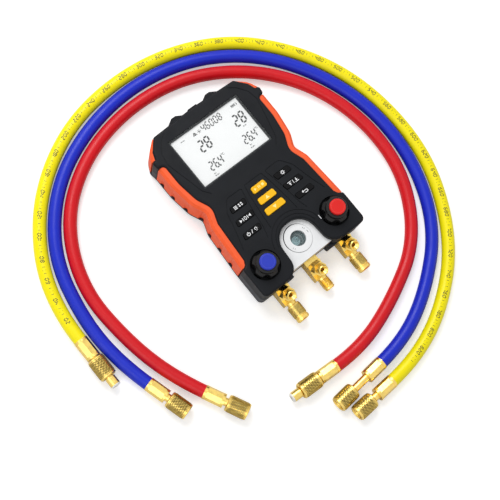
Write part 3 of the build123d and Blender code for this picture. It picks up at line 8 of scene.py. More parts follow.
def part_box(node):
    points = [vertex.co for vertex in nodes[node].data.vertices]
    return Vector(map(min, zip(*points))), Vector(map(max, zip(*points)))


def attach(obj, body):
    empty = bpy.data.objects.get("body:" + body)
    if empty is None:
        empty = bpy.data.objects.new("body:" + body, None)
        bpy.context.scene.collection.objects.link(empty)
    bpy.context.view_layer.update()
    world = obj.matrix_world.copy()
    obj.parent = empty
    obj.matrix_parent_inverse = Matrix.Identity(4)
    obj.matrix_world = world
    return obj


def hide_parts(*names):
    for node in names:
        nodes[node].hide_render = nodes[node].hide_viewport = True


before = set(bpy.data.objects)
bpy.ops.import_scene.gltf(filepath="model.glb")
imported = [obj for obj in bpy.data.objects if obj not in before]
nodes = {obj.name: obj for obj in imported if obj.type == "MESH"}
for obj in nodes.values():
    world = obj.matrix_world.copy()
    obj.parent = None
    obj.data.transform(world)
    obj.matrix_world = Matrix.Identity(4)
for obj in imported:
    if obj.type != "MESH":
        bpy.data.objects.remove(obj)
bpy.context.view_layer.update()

# Digital refrigerant manifold gauge with three charging hoses. Sizes here are in millimetres
# in the shared frame, and become metres where a mesh, curve or lamp is made.
MM = 0.001


def node_box(name):
    """Lowest and highest corner of a CAD node, in millimetres."""
    low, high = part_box(name)
    return [c / MM for c in low], [c / MM for c in high]


FACE_Z = node_box("front_case")[1][2]
DISPLAY_LOW, DISPLAY_HIGH = node_box("lcd_module")
RING_LOW, RING_HIGH = node_box("sight_ring")
RING_MIDDLE = [(RING_LOW[i] + RING_HIGH[i]) / 2 for i in (0, 1)]
LIFT = 0.05                 # printed marks above what carries them


# ---- materials ---------------------------------------------------------------------------
def srgb(red, green, blue):
    """Linear colour of a screen colour given in 0 to 255."""
    values = [c / 255 for c in (red, green, blue)]
    return [c / 12.92 if c <= 0.04045 else ((c + 0.055) / 1.055) ** 2.4 for c in values]


def new_material(name, colour, roughness, metallic=0.0, specular=0.5):
    """Principled material and its shader."""
    material = bpy.data.materials.new(name)
    material.use_nodes = True
    shader = material.node_tree.nodes["Principled BSDF"]
    shader.inputs["Base Color"].default_value = (*colour, 1)
    shader.inputs["Roughness"].default_value = roughness
    shader.inputs["Metallic"].default_value = metallic
    shader.inputs["Specular IOR Level"].default_value = specular
    return material, shader


def add_noise(material, scale, detail=4.0):
    """Noise in the object's own space, scale in waves per metre."""
    tree = material.node_tree
    place = tree.nodes.new("ShaderNodeTexCoord")
    noise = tree.nodes.new("ShaderNodeTexNoise")
    noise.inputs["Scale"].default_value = scale
    noise.inputs["Detail"].default_value = detail
    tree.links.new(place.outputs["Object"], noise.inputs["Vector"])
    return noise


def vary_colour(material, shader, colour, drift, scale):
    """Colour that drifts a share to either side of its mean."""
    first = [c * (1 - drift) for c in colour]
    second = [min(1.0, c * (1 + drift)) for c in colour]
    tree = material.node_tree
    noise = add_noise(material, scale)
    ramp = tree.nodes.new("ShaderNodeValToRGB")
    ramp.color_ramp.elements[0].position = 0.35
    ramp.color_ramp.elements[1].position = 0.65
    ramp.color_ramp.elements[0].color = (*first, 1)
    ramp.color_ramp.elements[1].color = (*second, 1)
    tree.links.new(noise.outputs["Fac"], ramp.inputs["Fac"])
    tree.links.new(ramp.outputs["Color"], shader.inputs["Base Color"])


def vary_roughness(material, shader, low, high, scale):
    """Roughness that changes over the surface, as handling and machining leave it."""
    tree = material.node_tree
    noise = add_noise(material, scale)
    spread = tree.nodes.new("ShaderNodeMapRange")
    spread.inputs["From Min"].default_value = 0.3
    spread.inputs["From Max"].default_value = 0.7
    spread.inputs["To Min"].default_value = low
    spread.inputs["To Max"].default_value = high
    tree.links.new(noise.outputs["Fac"], spread.inputs["Value"])
    tree.links.new(spread.outputs["Result"], shader.inputs["Roughness"])


def add_bump(material, shader, scale, distance, strength=1.0, detail=4.0):
    """Fine relief of the given depth in metres."""
    tree = material.node_tree
    noise = add_noise(material, scale, detail)
    bump = tree.nodes.new("ShaderNodeBump")
    bump.inputs["Strength"].default_value = strength
    bump.inputs["Distance"].default_value = distance
    tree.links.new(noise.outputs["Fac"], bump.inputs["Height"])
    tree.links.new(bump.outputs["Normal"], shader.inputs["Normal"])


# waves per metre of the drift in colour, the wear in roughness and the relief
PLASTIC_DRIFT, PLASTIC_WEAR, PLASTIC_GRAIN = 60, 90, 2600
METAL_DRIFT, METAL_WEAR, METAL_GRAIN = 220, 300, 900
TOOL_MARKS = 0.00002        # depth of a metal's relief, in metres


def plastic(name, colour, roughness, grain=0.00003, drift=0.12, specular=0.5):
    """Moulded plastic with a fine grain and a slight drift of colour."""
    material, shader = new_material(name, colour, roughness, specular=specular)
    vary_colour(material, shader, colour, drift, PLASTIC_DRIFT)
    vary_roughness(material, shader, roughness - 0.06, roughness + 0.06, PLASTIC_WEAR)
    add_bump(material, shader, PLASTIC_GRAIN, grain, detail=2)
    return material


def metal(name, colour, roughness, drift=0.08):
    """Machined metal with tool marks."""
    material, shader = new_material(name, colour, roughness, metallic=1.0)
    vary_colour(material, shader, colour, drift, METAL_DRIFT)
    vary_roughness(material, shader, roughness - 0.05, roughness + 0.08, METAL_WEAR)
    add_bump(material, shader, METAL_GRAIN, TOOL_MARKS, strength=0.5)
    return material


CASE_BLACK = plastic("case_black", srgb(19, 21, 25), 0.5, specular=0.14)
# painted light: the rear case and battery door are the same black plastic as the front case, made
# lighter and glossier for side walls that catch the side light
LOWER_CASE_LIT_BLACK = plastic("lower_case_lit_black", srgb(38, 42, 50), 0.48, specular=0.3)
RUBBER_ORANGE = plastic(
    "rubber_orange", srgb(250, 96, 44), 0.55, grain=0.00004, drift=0.05, specular=0.35)
SOCKET_BLACK = plastic("socket_black", srgb(26, 26, 28), 0.5)
KEY_BLACK = plastic("key_black", srgb(10, 10, 12), 0.45, specular=0.1)
KEY_YELLOW = plastic("key_yellow", srgb(250, 190, 6), 0.45, drift=0.03, specular=0.3)
KNOB_BLACK = plastic("knob_black", srgb(16, 16, 17), 0.36, specular=0.3)
CAP_BLUE = plastic("cap_blue", srgb(38, 56, 182), 0.42, drift=0.05, specular=0.3)
CAP_RED = plastic("cap_red", srgb(226, 30, 26), 0.42, drift=0.05, specular=0.3)
# painted highlight: lighter copies of the cap colours for the thin raised line near each cap's rim
RIM_BLUE_HIGHLIGHT = plastic("rim_blue_highlight", srgb(66, 78, 196), 0.42, drift=0.03, specular=0.3)
RIM_RED_HIGHLIGHT = plastic("rim_red_highlight", srgb(222, 66, 60), 0.42, drift=0.03, specular=0.3)
BOARD_GREEN = plastic("board_green", srgb(20, 84, 46), 0.4)
CHIPS = plastic("chips", srgb(34, 34, 36), 0.5)
MEMBRANE = plastic("membrane", srgb(110, 110, 114), 0.6)
CELL = plastic("cell_jacket", srgb(36, 40, 52), 0.3)
HOOK = plastic("hook_plastic", srgb(34, 35, 38), 0.45)
SEAL_WHITE = plastic("seal_white", srgb(240, 240, 236), 0.45, drift=0.03)
MARK_WHITE = plastic("mark_white", srgb(246, 247, 248), 0.5, drift=0.01)
MARK_PALE = plastic("mark_pale", srgb(255, 240, 150), 0.5, drift=0.01)
MARK_DARK = plastic("mark_dark", srgb(14, 15, 17), 0.5, drift=0.05, specular=0.2)
# grey of the ring's engraved ticks, which also paints the shadow in the gap round the sight ring
MARK_AND_SHADOW_GREY = plastic("mark_and_shadow_grey", srgb(52, 52, 54), 0.6, drift=0.05, specular=0.2)
# painted shade: near-black teal for the deep sight bore's ground and a thin sheet on its wall, where
# shade falls
BORE_SHADE = plastic("bore_painted_shade", srgb(10, 24, 26), 0.4, drift=0.05, specular=0.2)
MARK_BLACK = plastic("mark_black", srgb(16, 16, 16), 0.5, drift=0.05)
DISPLAY_WHITE = plastic("display_white", srgb(250, 251, 251), 0.6, grain=0.000005, drift=0.01)
MANIFOLD = plastic("manifold_white", srgb(240, 241, 242), 0.4, grain=0.00004, drift=0.03)
BRASS = metal("brass", srgb(240, 208, 116), 0.24)
# painted shade: darker brass on the side faces of knurl diamonds, for the shade in the knurl's grooves
BRASS_GROOVE_SHADE = metal("brass_groove_shade", srgb(122, 98, 38), 0.4)
STEEL = metal("steel", srgb(186, 190, 194), 0.28)
TEAL_STEEL = metal("plunger_steel", srgb(132, 160, 164), 0.3)
HOSE_MATERIALS = {
    colour: plastic("hose_" + colour, srgb(*shade), 0.36, grain=0.00001, drift=drift, specular=0.3)
    for colour, shade, drift in (
        ("red", (212, 16, 28), 0.03), ("blue", (18, 42, 196), 0.03), ("yellow", (254, 238, 0), 0.02))
}


def clear_glass(name, tint, alpha):
    """Thin clear plate that lets the surface under it show as it is."""
    material, shader = new_material(name, tint, 0.06)
    shader.inputs["Alpha"].default_value = alpha
    vary_roughness(material, shader, 0.04, 0.09, PLASTIC_DRIFT)
    return material


LENS_CLEAR = clear_glass("lens_clear", srgb(235, 240, 240), 0.06)
SIGHT_CLEAR = clear_glass("sight_clear", srgb(200, 225, 228), 0.10)

MATERIAL_OF = {
    "front_case": CASE_BLACK, "rear_case": LOWER_CASE_LIT_BLACK, "grip_left": RUBBER_ORANGE,
    "grip_right": RUBBER_ORANGE, "corner_bumpers": RUBBER_ORANGE,
    "probe_sockets": SOCKET_BLACK, "battery_door": LOWER_CASE_LIT_BLACK, "batteries": CELL,
    "battery_contacts": STEEL, "case_screws": STEEL, "hanging_hook": HOOK,
    "hook_pin": STEEL, "lcd_lens": LENS_CLEAR, "lcd_module": DISPLAY_WHITE,
    "circuit_board": BOARD_GREEN, "board_components": CHIPS, "keypad_membrane": MEMBRANE,
    "manifold_block": MANIFOLD, "manifold_screws": STEEL, "sight_ring": MANIFOLD,
    "sight_glass": SIGHT_CLEAR, "sight_plunger": TEAL_STEEL, "pressure_sensors": BRASS,
    "packing_nuts": BRASS, "port_nozzles": BRASS, "hose_seals": SEAL_WHITE,
    "core_depressors": BRASS, "valve_spindle_low": STEEL, "valve_spindle_high": STEEL,
    "knob_low": KNOB_BLACK, "knob_high": KNOB_BLACK, "cap_low": CAP_BLUE,
    "cap_high": CAP_RED, "port_body_left": BRASS, "port_body_middle": BRASS,
    "port_body_right": BRASS, "ferrules_red": BRASS, "ferrules_blue": BRASS,
    "ferrules_yellow": BRASS,
}
BLACK_KEYS = ("mode", "zero", "power", "set", "minmax", "back")
YELLOW_KEYS = ("play", "up", "down")
for key in BLACK_KEYS:
    MATERIAL_OF["key_" + key] = KEY_BLACK
for key in YELLOW_KEYS:
    MATERIAL_OF["key_" + key] = KEY_YELLOW
for name, material in MATERIAL_OF.items():
    for slot in nodes[name].material_slots:
        slot.material = material


# ---- making pieces -------------------------------------------------------------------------
TURNED_ANGLE = 28           # sharpest angle that brass shades as round
STEEL_ANGLE = 30            # the same for the parts of the sight bore
FLARE_PITCH = 1.27          # 20 threads to the inch
KNURL_SINK = 0.05           # ground under a knurl's diamonds, below their foot
NUT_DIAMONDS, CAP_DIAMONDS = 30, 34
CAP_FLAT = 0.7              # share of a diamond that its flat top takes, on the dust caps


def make_piece(name, points, faces, material, body, smooth_angle=None, second=None):
    """Mesh from points in millimetres that rides on a body. A smooth angle rounds its shading.

    second is a material and the faces that have it."""
    mesh = bpy.data.meshes.new(name)
    mesh.from_pydata([Vector(p) * MM for p in points], [], faces)
    mesh.materials.append(material)
    if second:
        mesh.materials.append(second[0])
        for i in second[1]:
            mesh.polygons[i].material_index = 1
    if smooth_angle is not None:
        mesh.polygons.foreach_set("use_smooth", [True] * len(mesh.polygons))
        mesh.set_sharp_from_angle(angle=radians(smooth_angle))
    mesh.update()
    piece = bpy.data.objects.new(name, mesh)
    bpy.context.scene.collection.objects.link(piece)
    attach(piece, body)
    return piece


def axis_frame(origin, direction):
    """Matrix whose Z axis is the direction."""
    turn = Vector(direction).normalized().to_track_quat("Z", "Y").to_matrix().to_4x4()
    return Matrix.Translation(Vector(origin)) @ turn


def lathe(matrix, profile, segments=72):
    """Points and faces of a turned surface from (distance, radius) steps along Z.

    A step may be a function of the angle instead, which gives a helix."""
    points, faces = [], []
    for step in profile:
        for i in range(segments):
            angle = 2 * pi * i / segments
            distance, radius = step(angle) if callable(step) else step
            points.append(matrix @ Vector((radius * cos(angle), radius * sin(angle), distance)))
    for row in range(len(profile) - 1):
        for i in range(segments):
            j = (i + 1) % segments
            a, b = row * segments, (row + 1) * segments
            faces.append((a + i, a + j, b + j, b + i))
    return points, faces


def join(parts):
    """One list of points and faces from several."""
    points, faces = [], []
    for more_points, more_faces in parts:
        base = len(points)
        points += more_points
        faces += [tuple(base + i for i in face) for face in more_faces]
    return points, faces


def knurl(matrix, start, end, radius, depth, count, flat=0.62):
    """Band of raised diamonds with flat tops round the Z axis. Every fifth face is a top."""
    points, faces = [], []
    step = 2 * pi / count
    rows = max(4, 2 * round((end - start) / (step * radius) * 0.72))
    height = (end - start) / rows

    def ring_point(turn, row, reach):
        angle = turn * step
        spot = Vector((reach * cos(angle), reach * sin(angle), start + row * height))
        return matrix @ spot

    low, high = radius - depth, radius
    for row in range(1, rows):
        shift = 0.5 * ((row + 1) % 2)
        for i in range(count):
            centre = i + shift
            corners = [
                (centre, row - 1), (centre + 0.5, row), (centre, row + 1), (centre - 0.5, row)]
            base = len(points)
            for turn, place in corners:
                points.append(ring_point(turn, place, low))
            for turn, place in corners:
                top_turn = centre + (turn - centre) * flat
                top_row = row + (place - row) * flat
                points.append(ring_point(top_turn, top_row, high))
            for k in range(4):
                m = (k + 1) % 4
                faces.append((base + k, base + m, base + 4 + m, base + 4 + k))
            faces.append((base + 4, base + 5, base + 6, base + 7))
    return points, faces


def groove_faces(start, count):
    """Side faces of a knurl's diamonds, which carry the painted shade of its grooves."""
    return [start + i for i in range(count) if i % 5 != 4]


def thread(start, end, root, crest, pitch, run_out=0.8):
    """Steps of an outside or inside V thread for lathe, flat where it runs out."""
    rows = round((end - start) / (pitch / 6))
    steps = []
    for row in range(rows + 1):
        place = start + (end - start) * row / rows

        def step(angle, place=place):
            phase = (place / pitch - angle / (2 * pi)) % 1
            wave = 1 - abs(2 * phase - 1)
            fade = min(1, (place - start) / run_out, (end - place) / run_out)
            return place, root + (crest - root) * wave * max(0, fade)

        steps.append(step)
    return steps


# ---- camera ---------------------------------------------------------------------------------
CAMERA_PLACE = (-0.27124, -0.11042, 0.89136)
CAMERA_AZIMUTH, CAMERA_ELEVATION, CAMERA_ROLL = (radians(a) for a in (-70.88, 74.26, 32.31))
CAMERA_LENS = 72.0


def add_camera():
    """Camera at the photograph's place, its back vector from azimuth and elevation."""
    a, e, roll = CAMERA_AZIMUTH, CAMERA_ELEVATION, CAMERA_ROLL
    back = Vector((sin(a) * cos(e), -cos(a) * cos(e), sin(e)))
    level_right = Vector((cos(a), sin(a), 0))
    level_up = back.cross(level_right)
    right = level_right * cos(roll) + level_up * sin(roll)
    up = level_up * cos(roll) - level_right * sin(roll)
    data = bpy.data.cameras.new("camera")
    data.lens = CAMERA_LENS
    data.sensor_width = 36.0
    data.clip_end = 20.0
    camera = bpy.data.objects.new("camera", data)
    bpy.context.scene.collection.objects.link(camera)
    turn = Matrix((right, up, back)).transposed().to_4x4()
    camera.matrix_world = Matrix.Translation(Vector(CAMERA_PLACE)) @ turn
    bpy.context.scene.camera = camera


add_camera()

# ---- hoses ----------------------------------------------------------------------------------
HOSE_DIAMETER = 12.5
FERRULE_LENGTH = 19.5
HOSE_ROUTES = {
    "red": [
        (-150, -103, 7.4), (-163, -76, 6.3), (-175, -27, 6.3), (-178, 36, 6.3),
        (-151, 95, 6.3), (-101, 132, 6.3), (-40, 147, 6.3), (23, 140, 6.3),
        (79, 108, 6.3), (118, 59, 6.3), (136, -2, 6.3), (130, -64, 6.3),
        (94, -119, 6.3), (39, -147, 6.3), (-12, -162, 6.3), (-42, -160, 7.4),
    ],
    "blue": [
        (-184, -67, 7.4), (-192, -38, 6.3), (-194, 13, 6.3), (-180, 75, 6.3),
        (-139, 125, 6.3), (-83, 153, 6.3), (-20, 162, 6.3), (43, 149, 6.3),
        (96, 114, 6.3), (132, 62, 6.3), (150, 2, 6.3), (146, -62, 6.3),
        (119, -121, 6.3), (70, -161, 6.3), (23, -182, 6.3), (-7, -184, 7.1),
    ],
    "yellow": [
        (-207, 0, 7.4), (-207, 30, 6.3), (-191, 81, 6.3), (-153, 130, 6.3),
        (-97, 164, 6.3), (-35, 175, 6.3), (27, 168, 6.3), (85, 141, 6.3),
        (129, 94, 6.3), (156, 38, 6.3), (164, -28, 6.3), (153, -86, 6.3),
        (119, -145, 6.3), (69, -184, 6.3), (19, -202, 6.3), (-10, -203, 7.3),
    ],
}
# Gap between ferrule and loose nut at the left (a) and right (b) end of each hose.
NUT_GAPS = {
    "red": (2.9, 0.8),
    "blue": (2.9, 17.0),
    "yellow": (0.8, 5.8),
}


def hose_end(colour, end):
    """Matrix at a hose's left (0) or right (1) end, its Z axis facing out of the hose."""
    route = HOSE_ROUTES[colour]
    tip, inner = (route[0], route[1]) if end == 0 else (route[-1], route[-2])
    return axis_frame(tip, Vector(tip) - Vector(inner))


def add_hose(colour):
    """Smooth tube along its route."""
    data = bpy.data.curves.new("hose_line_" + colour, "CURVE")
    data.dimensions = "3D"
    spline = data.splines.new("NURBS")
    route = HOSE_ROUTES[colour]
    spline.points.add(len(route) - 1)
    for point, place in zip(spline.points, route):
        point.co = (*(c * MM for c in place), 1)
    spline.order_u = 3
    spline.use_endpoint_u = True
    spline.resolution_u = 16
    data.bevel_depth = HOSE_DIAMETER / 2 * MM
    data.bevel_resolution = 10
    data.use_fill_caps = True
    data.materials.append(HOSE_MATERIALS[colour])
    piece = bpy.data.objects.new("tube_" + colour, data)
    bpy.context.scene.collection.objects.link(piece)
    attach(piece, "gauge")
    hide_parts("hose_" + colour)
    return piece


def add_nut(colour, end):
    """Coupling nut with a diamond knurl between smooth chamfered ends and an inside thread."""
    word = "ab"[end]
    start = FERRULE_LENGTH + NUT_GAPS[colour][end]
    matrix = hose_end(colour, end) @ Matrix.Translation((0, 0, start))
    length, radius, rim, wall, bore, neck = 20.5, 8.0, 7.75, 5.0, 5.6, 3.85
    band_low, band_high, depth = 2.0, 18.6, 0.5
    steps = [(0, neck), (0, rim - 0.9), (0.9, rim), (band_low - 0.3, rim)]
    ground = radius - depth - KNURL_SINK
    steps += [(band_low, ground), (band_high, ground)]
    steps += [(band_high + 0.3, rim), (length - 0.8, rim), (length, rim - 0.8)]
    steps += [(length, bore + 0.6), (length - 0.7, bore)]
    steps += thread(wall + 0.6, length - 0.9, bore, bore - 0.45, FLARE_PITCH)[::-1]
    steps += [(wall, bore), (wall, neck), (0, neck)]
    turned = lathe(matrix, steps)
    diamonds = knurl(matrix, band_low, band_high, radius, depth, NUT_DIAMONDS)
    points, faces = join([turned, diamonds])
    name = "knurled_nut_" + colour + "_" + word
    body = "coupling_" + colour + "_" + word
    # side faces of the diamonds in painted shade
    grooves = BRASS_GROOVE_SHADE, groove_faces(len(turned[1]), len(diamonds[1]))
    piece = make_piece(name, points, faces, BRASS, body, TURNED_ANGLE, grooves)
    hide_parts("nut_" + colour + "_" + word)
    return piece


tubes = {colour: add_hose(colour) for colour in HOSE_ROUTES}
nuts = {colour: [add_nut(colour, end) for end in (0, 1)] for colour in HOSE_ROUTES}
on_hose = {colour: nuts[colour] + [nodes["ferrules_" + colour]] for colour in HOSE_ROUTES}
on_hose["yellow"] += [nodes["hose_seals"], nodes["core_depressors"]]


# ---- marks ----------------------------------------------------------------------------------
def make_marks(name, shapes, z, material, body):
    """Printed mark: flat shapes in millimetres at one height."""
    points, faces = [], []
    for shape in shapes:
        base = len(points)
        points += [(x, y, z) for x, y in shape]
        faces.append(tuple(range(base, base + len(shape))))
    return make_piece(name, points, faces, material, body)


def bar(x, y, width, height):
    """Rectangle round its middle."""
    w, h = width / 2, height / 2
    return [(x - w, y - h), (x + w, y - h), (x + w, y + h), (x - w, y + h)]


def arc_band(x, y, radius, width, start, sweep, steps=24, squeeze=1.0):
    """Part of a ring, as quads. squeeze narrows it across."""
    quads = []
    for i in range(steps):
        a, b = (radians(start + sweep * k / steps) for k in (i, i + 1))
        inner, outer = radius - width / 2, radius + width / 2
        quads.append([(x + squeeze * r * cos(t), y + r * sin(t))
                      for r, t in ((inner, a), (outer, a), (outer, b), (inner, b))])
    return quads


def stroke(x0, y0, x1, y1, width):
    """Straight stroke between two points."""
    length = hypot(x1 - x0, y1 - y0)
    across_x, across_y = -(y1 - y0) / length * width / 2, (x1 - x0) / length * width / 2
    return [
        (x0 + across_x, y0 + across_y), (x0 - across_x, y0 - across_y),
        (x1 - across_x, y1 - across_y), (x1 + across_x, y1 + across_y),
    ]


def ray(x, y, angle, start, end, width):
    """Straight stroke that points away from a middle."""
    way_x, way_y = cos(angle), sin(angle)
    return stroke(x + start * way_x, y + start * way_y, x + end * way_x, y + end * way_y, width)


DIGIT_SEGMENTS = {
    "0": "abcdef", "1": "bc", "2": "abged", "3": "abgcd", "4": "fgbc",
    "5": "afgcd", "6": "afgedc", "7": "abc", "8": "abcdefg", "9": "abcdfg",
}
DIGIT_SLANT = 0.13


def digit(text, x, y, width, height, stroke_width):
    """Seven-segment digit round its middle, leaning right."""
    w, h, t = width / 2, height / 2, stroke_width / 2
    gap = stroke_width * 0.22
    ends = {
        "a": (-w, h, w, h), "b": (w, h, w, 0), "c": (w, 0, w, -h), "d": (-w, -h, w, -h),
        "e": (-w, 0, -w, -h), "f": (-w, h, -w, 0), "g": (-w, 0, w, 0),
    }
    shapes = []
    for name in DIGIT_SEGMENTS[text]:
        x0, y0, x1, y1 = ends[name]
        length = hypot(x1 - x0, y1 - y0)
        ux, uy = (x1 - x0) / length, (y1 - y0) / length
        shape = []
        near, far = gap + t, length - gap - t
        for along, across in (
                (gap, 0), (near, t), (far, t), (length - gap, 0), (far, -t), (near, -t)):
            px, py = x0 + ux * along - uy * across, y0 + uy * along + ux * across
            shape.append((x + px + DIGIT_SLANT * py, y + py))
        shapes.append(shape)
    return shapes


def number(text, x, y, width, height, stroke_width, pitch):
    """Row of digits round its middle. A point takes no room of its own."""
    shapes = []
    count = len(text.replace(".", ""))
    place = x - (count - 1) * pitch / 2
    for character in text:
        if character == ".":
            dot_x = place - pitch / 2 - DIGIT_SLANT * height / 2
            shapes.append(bar(dot_x, y - height / 2, stroke_width * 1.2, stroke_width * 1.2))
            continue
        shapes += digit(character, place, y, width, height, stroke_width)
        place += pitch
    return shapes


# ---- display ----------------------------------------------------------------------------------
LAYOUT_WIDTH, LAYOUT_HEIGHT = 76.3, 50.3        # field that the display's figures are placed in
FINE_LINE = 0.3


def add_display():
    """Figures and signs of the liquid crystal display, a little above its panel."""
    left = (DISPLAY_LOW[0] + DISPLAY_HIGH[0]) / 2 - LAYOUT_WIDTH / 2
    top = (DISPLAY_LOW[1] + DISPLAY_HIGH[1]) / 2 + LAYOUT_HEIGHT / 2
    z = DISPLAY_HIGH[2] + LIFT
    dark, faint = [], []
    dark += number("46008", left + 43.4, top - 5.6, 2.9, 6.6, 1.0, 4.7)
    for x, y in ((25.5, 18.5), (66.4, 18.3)):
        dark += number("28", left + x, top - y, 4.4, 10.6, 1.6, 7.0)
    for x, y in ((22.6, 38.5), (63.4, 37.2)):
        dark += number("26.4", left + x, top - y, 3.2, 8.2, 1.2, 5.3)
        faint += arc_band(left + x + 9.0, top - y + 3.6, 0.55, FINE_LINE, 0, 360, 12)
        faint += arc_band(left + x + 10.9, top - y + 3.0, 0.9, 0.35, 50, 260, 12)
    # direction arrow, frost star, cell symbol, and the small signs beside the figures
    dark += [stroke(left + 22.0, top - 7.2, left + 23.8, top - 4.2, 0.9)]
    dark += [stroke(left + 23.8, top - 4.2, left + 25.6, top - 7.2, 0.9)]
    dark += [bar(left + 23.8, top - 6.6, 1.1, 1.6)]
    for i in range(3):
        dx, dy = 1.9 * cos(pi * i / 3), 1.9 * sin(pi * i / 3)
        x, y = left + 28.9, top - 5.9
        dark += [stroke(x - dx, y - dy, x + dx, y + dy, 0.4)]
    x, y = left + 70.4, top - 4.9
    faint += [bar(x, y + 1.1, 6.0, FINE_LINE), bar(x, y - 1.1, 6.0, FINE_LINE)]
    faint += [bar(x - 3.0, y, FINE_LINE, 2.4), bar(x + 3.0, y, FINE_LINE, 2.4)]
    faint += [bar(x + 3.4, y, 0.5, 1.0)]
    faint += [bar(x + offset, y, 1.0, 1.5) for offset in (-2.0, -0.6, 0.8)]
    for x, y, count in ((11.0, 4.6, 4), (66.4, 26.2, 3), (15.8, 45.6, 2), (16.6, 47.8, 4),
                        (59.4, 43.9, 2), (59.6, 46.6, 4)):
        for i in range(count):
            offset = (i - (count - 1) / 2) * 1.15
            faint += [bar(left + x + offset, top - y, 0.75, FINE_LINE if i % 2 else 1.0)]
            faint += [bar(left + x + offset, top - y - 0.5, 0.75, 0.25)]
    make_marks("display_figures", dark, z, MARK_DARK, "gauge")
    make_marks("display_signs", faint, z, MARK_DARK, "gauge")


add_display()


# ---- keys -------------------------------------------------------------------------------------
def key_middle(name):
    """Middle of a key's top, in millimetres."""
    low, high = node_box("key_" + name)
    return (low[0] + high[0]) / 2, (low[1] + high[1]) / 2, high[2]


def key_shapes(name, x, y):
    """Plain sign on a key."""
    shapes = []
    if name == "mode":
        shapes += [bar(x - 3.2, y + d, 3.4, 0.6) for d in (-1.2, 0, 1.2)]
        shapes += [bar(x + 0.9 + 2.6 * i, y + d, 1.5, 1.1) for i in (0, 1) for d in (-0.9, 0.9)]
    elif name == "zero":
        shapes += [[(x - 6.0, y - 1.5), (x - 3.6, y), (x - 6.0, y + 1.5)]]
        shapes += arc_band(x, y, 1.45, 0.65, 0, 360, 24, 0.72)
        shapes += [[(x + 6.0, y + 1.5), (x + 3.6, y), (x + 6.0, y - 1.5)]]
        shapes += [bar(x - 2.5, y, 0.6, 3.0), bar(x + 2.5, y, 0.6, 3.0)]
    elif name == "power":
        shapes += arc_band(x - 4.3, y - 0.1, 1.45, 0.6, 120, 300, 24)
        shapes += [bar(x - 4.3, y + 1.0, 0.6, 1.9)]
        shapes += [stroke(x - 0.9, y - 1.5, x + 0.7, y + 1.6, 0.55)]
        shapes += arc_band(x + 4.2, y + 0.3, 1.1, 0.55, -60, 300, 20)
        shapes += [bar(x + 4.2, y - 1.5, 1.1, 0.45)]
    elif name == "set":
        shapes += arc_band(x, y, 1.15, 0.6, 0, 360, 24)
        for i in range(8):
            a = pi * i / 4
            shapes += [ray(x, y, a, 1.2, 2.0, 0.6)]
    elif name == "minmax":
        for side, way in ((-3.6, 1), (3.6, -1)):
            shapes += [bar(x + side, y + way * 1.7, 4.2, 0.5)]
            shapes += [[(x + side - 1.3, y - way * 0.1), (x + side + 1.3, y - way * 0.1),
                        (x + side, y + way * 1.2)][::way]]
            shapes += [bar(x + side, y - way * 0.9, 0.7, 1.6)]
        shapes += [bar(x, y, 0.45, 3.6)]
    elif name == "back":
        shapes += [[(x - 3.0, y + 0.5), (x - 1.2, y + 1.8), (x - 1.2, y - 0.8)]]
        shapes += [bar(x + 0.4, y + 0.5, 3.3, 0.6)]
        shapes += arc_band(x + 2.0, y - 0.55, 1.05, 0.6, -90, 180, 12)
        shapes += [bar(x + 0.8, y - 1.6, 2.4, 0.6)]
    elif name == "play":
        shapes += [[(x - 5.2, y - 1.3), (x - 3.0, y), (x - 5.2, y + 1.3)]]
        shapes += [bar(x - 0.7, y, 0.7, 2.6), bar(x + 0.7, y, 0.7, 2.6)]
        shapes += [bar(x + 4.1, y, 2.3, 2.3)]
    elif name == "up":
        shapes += [[(x - 2.0, y - 1.5), (x + 2.0, y - 1.5), (x, y + 1.7)]]
    elif name == "down":
        shapes += [[(x + 2.0, y + 1.5), (x - 2.0, y + 1.5), (x, y - 1.7)]]
    return shapes


for keys, material, slot_name in (
        (BLACK_KEYS, MARK_WHITE, "key_black"), (YELLOW_KEYS, MARK_PALE, "key_yellow")):
    for name in keys:
        x, y, top = key_middle(name)
        shapes = key_shapes(name, x, y)
        make_marks("sign_" + name, shapes, top + LIFT, material, "key_" + name)


# ---- sight opening, knobs and ports -------------------------------------------------------------
def hexagon_step(distance, across_flats):
    """Step of a lathe profile that is a hexagon instead of a circle."""

    def step(angle):
        turn = (angle + pi / 6) % (pi / 3) - pi / 6
        return distance, across_flats / 2 / cos(turn)

    return step


INSERT_RADIUS, INSERT_TOP = 6.85, 14.6
STEM_RADIUS, STEM_TOP, STEM_SOCKET = 4.7, 19.0, 16.8
# thin sheet of painted shade on the sight bore's wall
SHADE_LINER_INNER, SHADE_LINER_OUTER, SHADE_LINER_LOW, SHADE_LINER_HIGH = 7.25, 7.39, 18.4, 27.0
# inner radius, least and added width, and steps of the painted shadow in the ring's gap
GAP_RADIUS, GAP_SHADOW_NARROW, GAP_SHADOW_WIDEN, GAP_STEPS = 13.1, 0.15, 0.75, 72
GAP_SHADOW_ANGLE = radians(118)    # where the painted shadow in the gap round the ring is widest
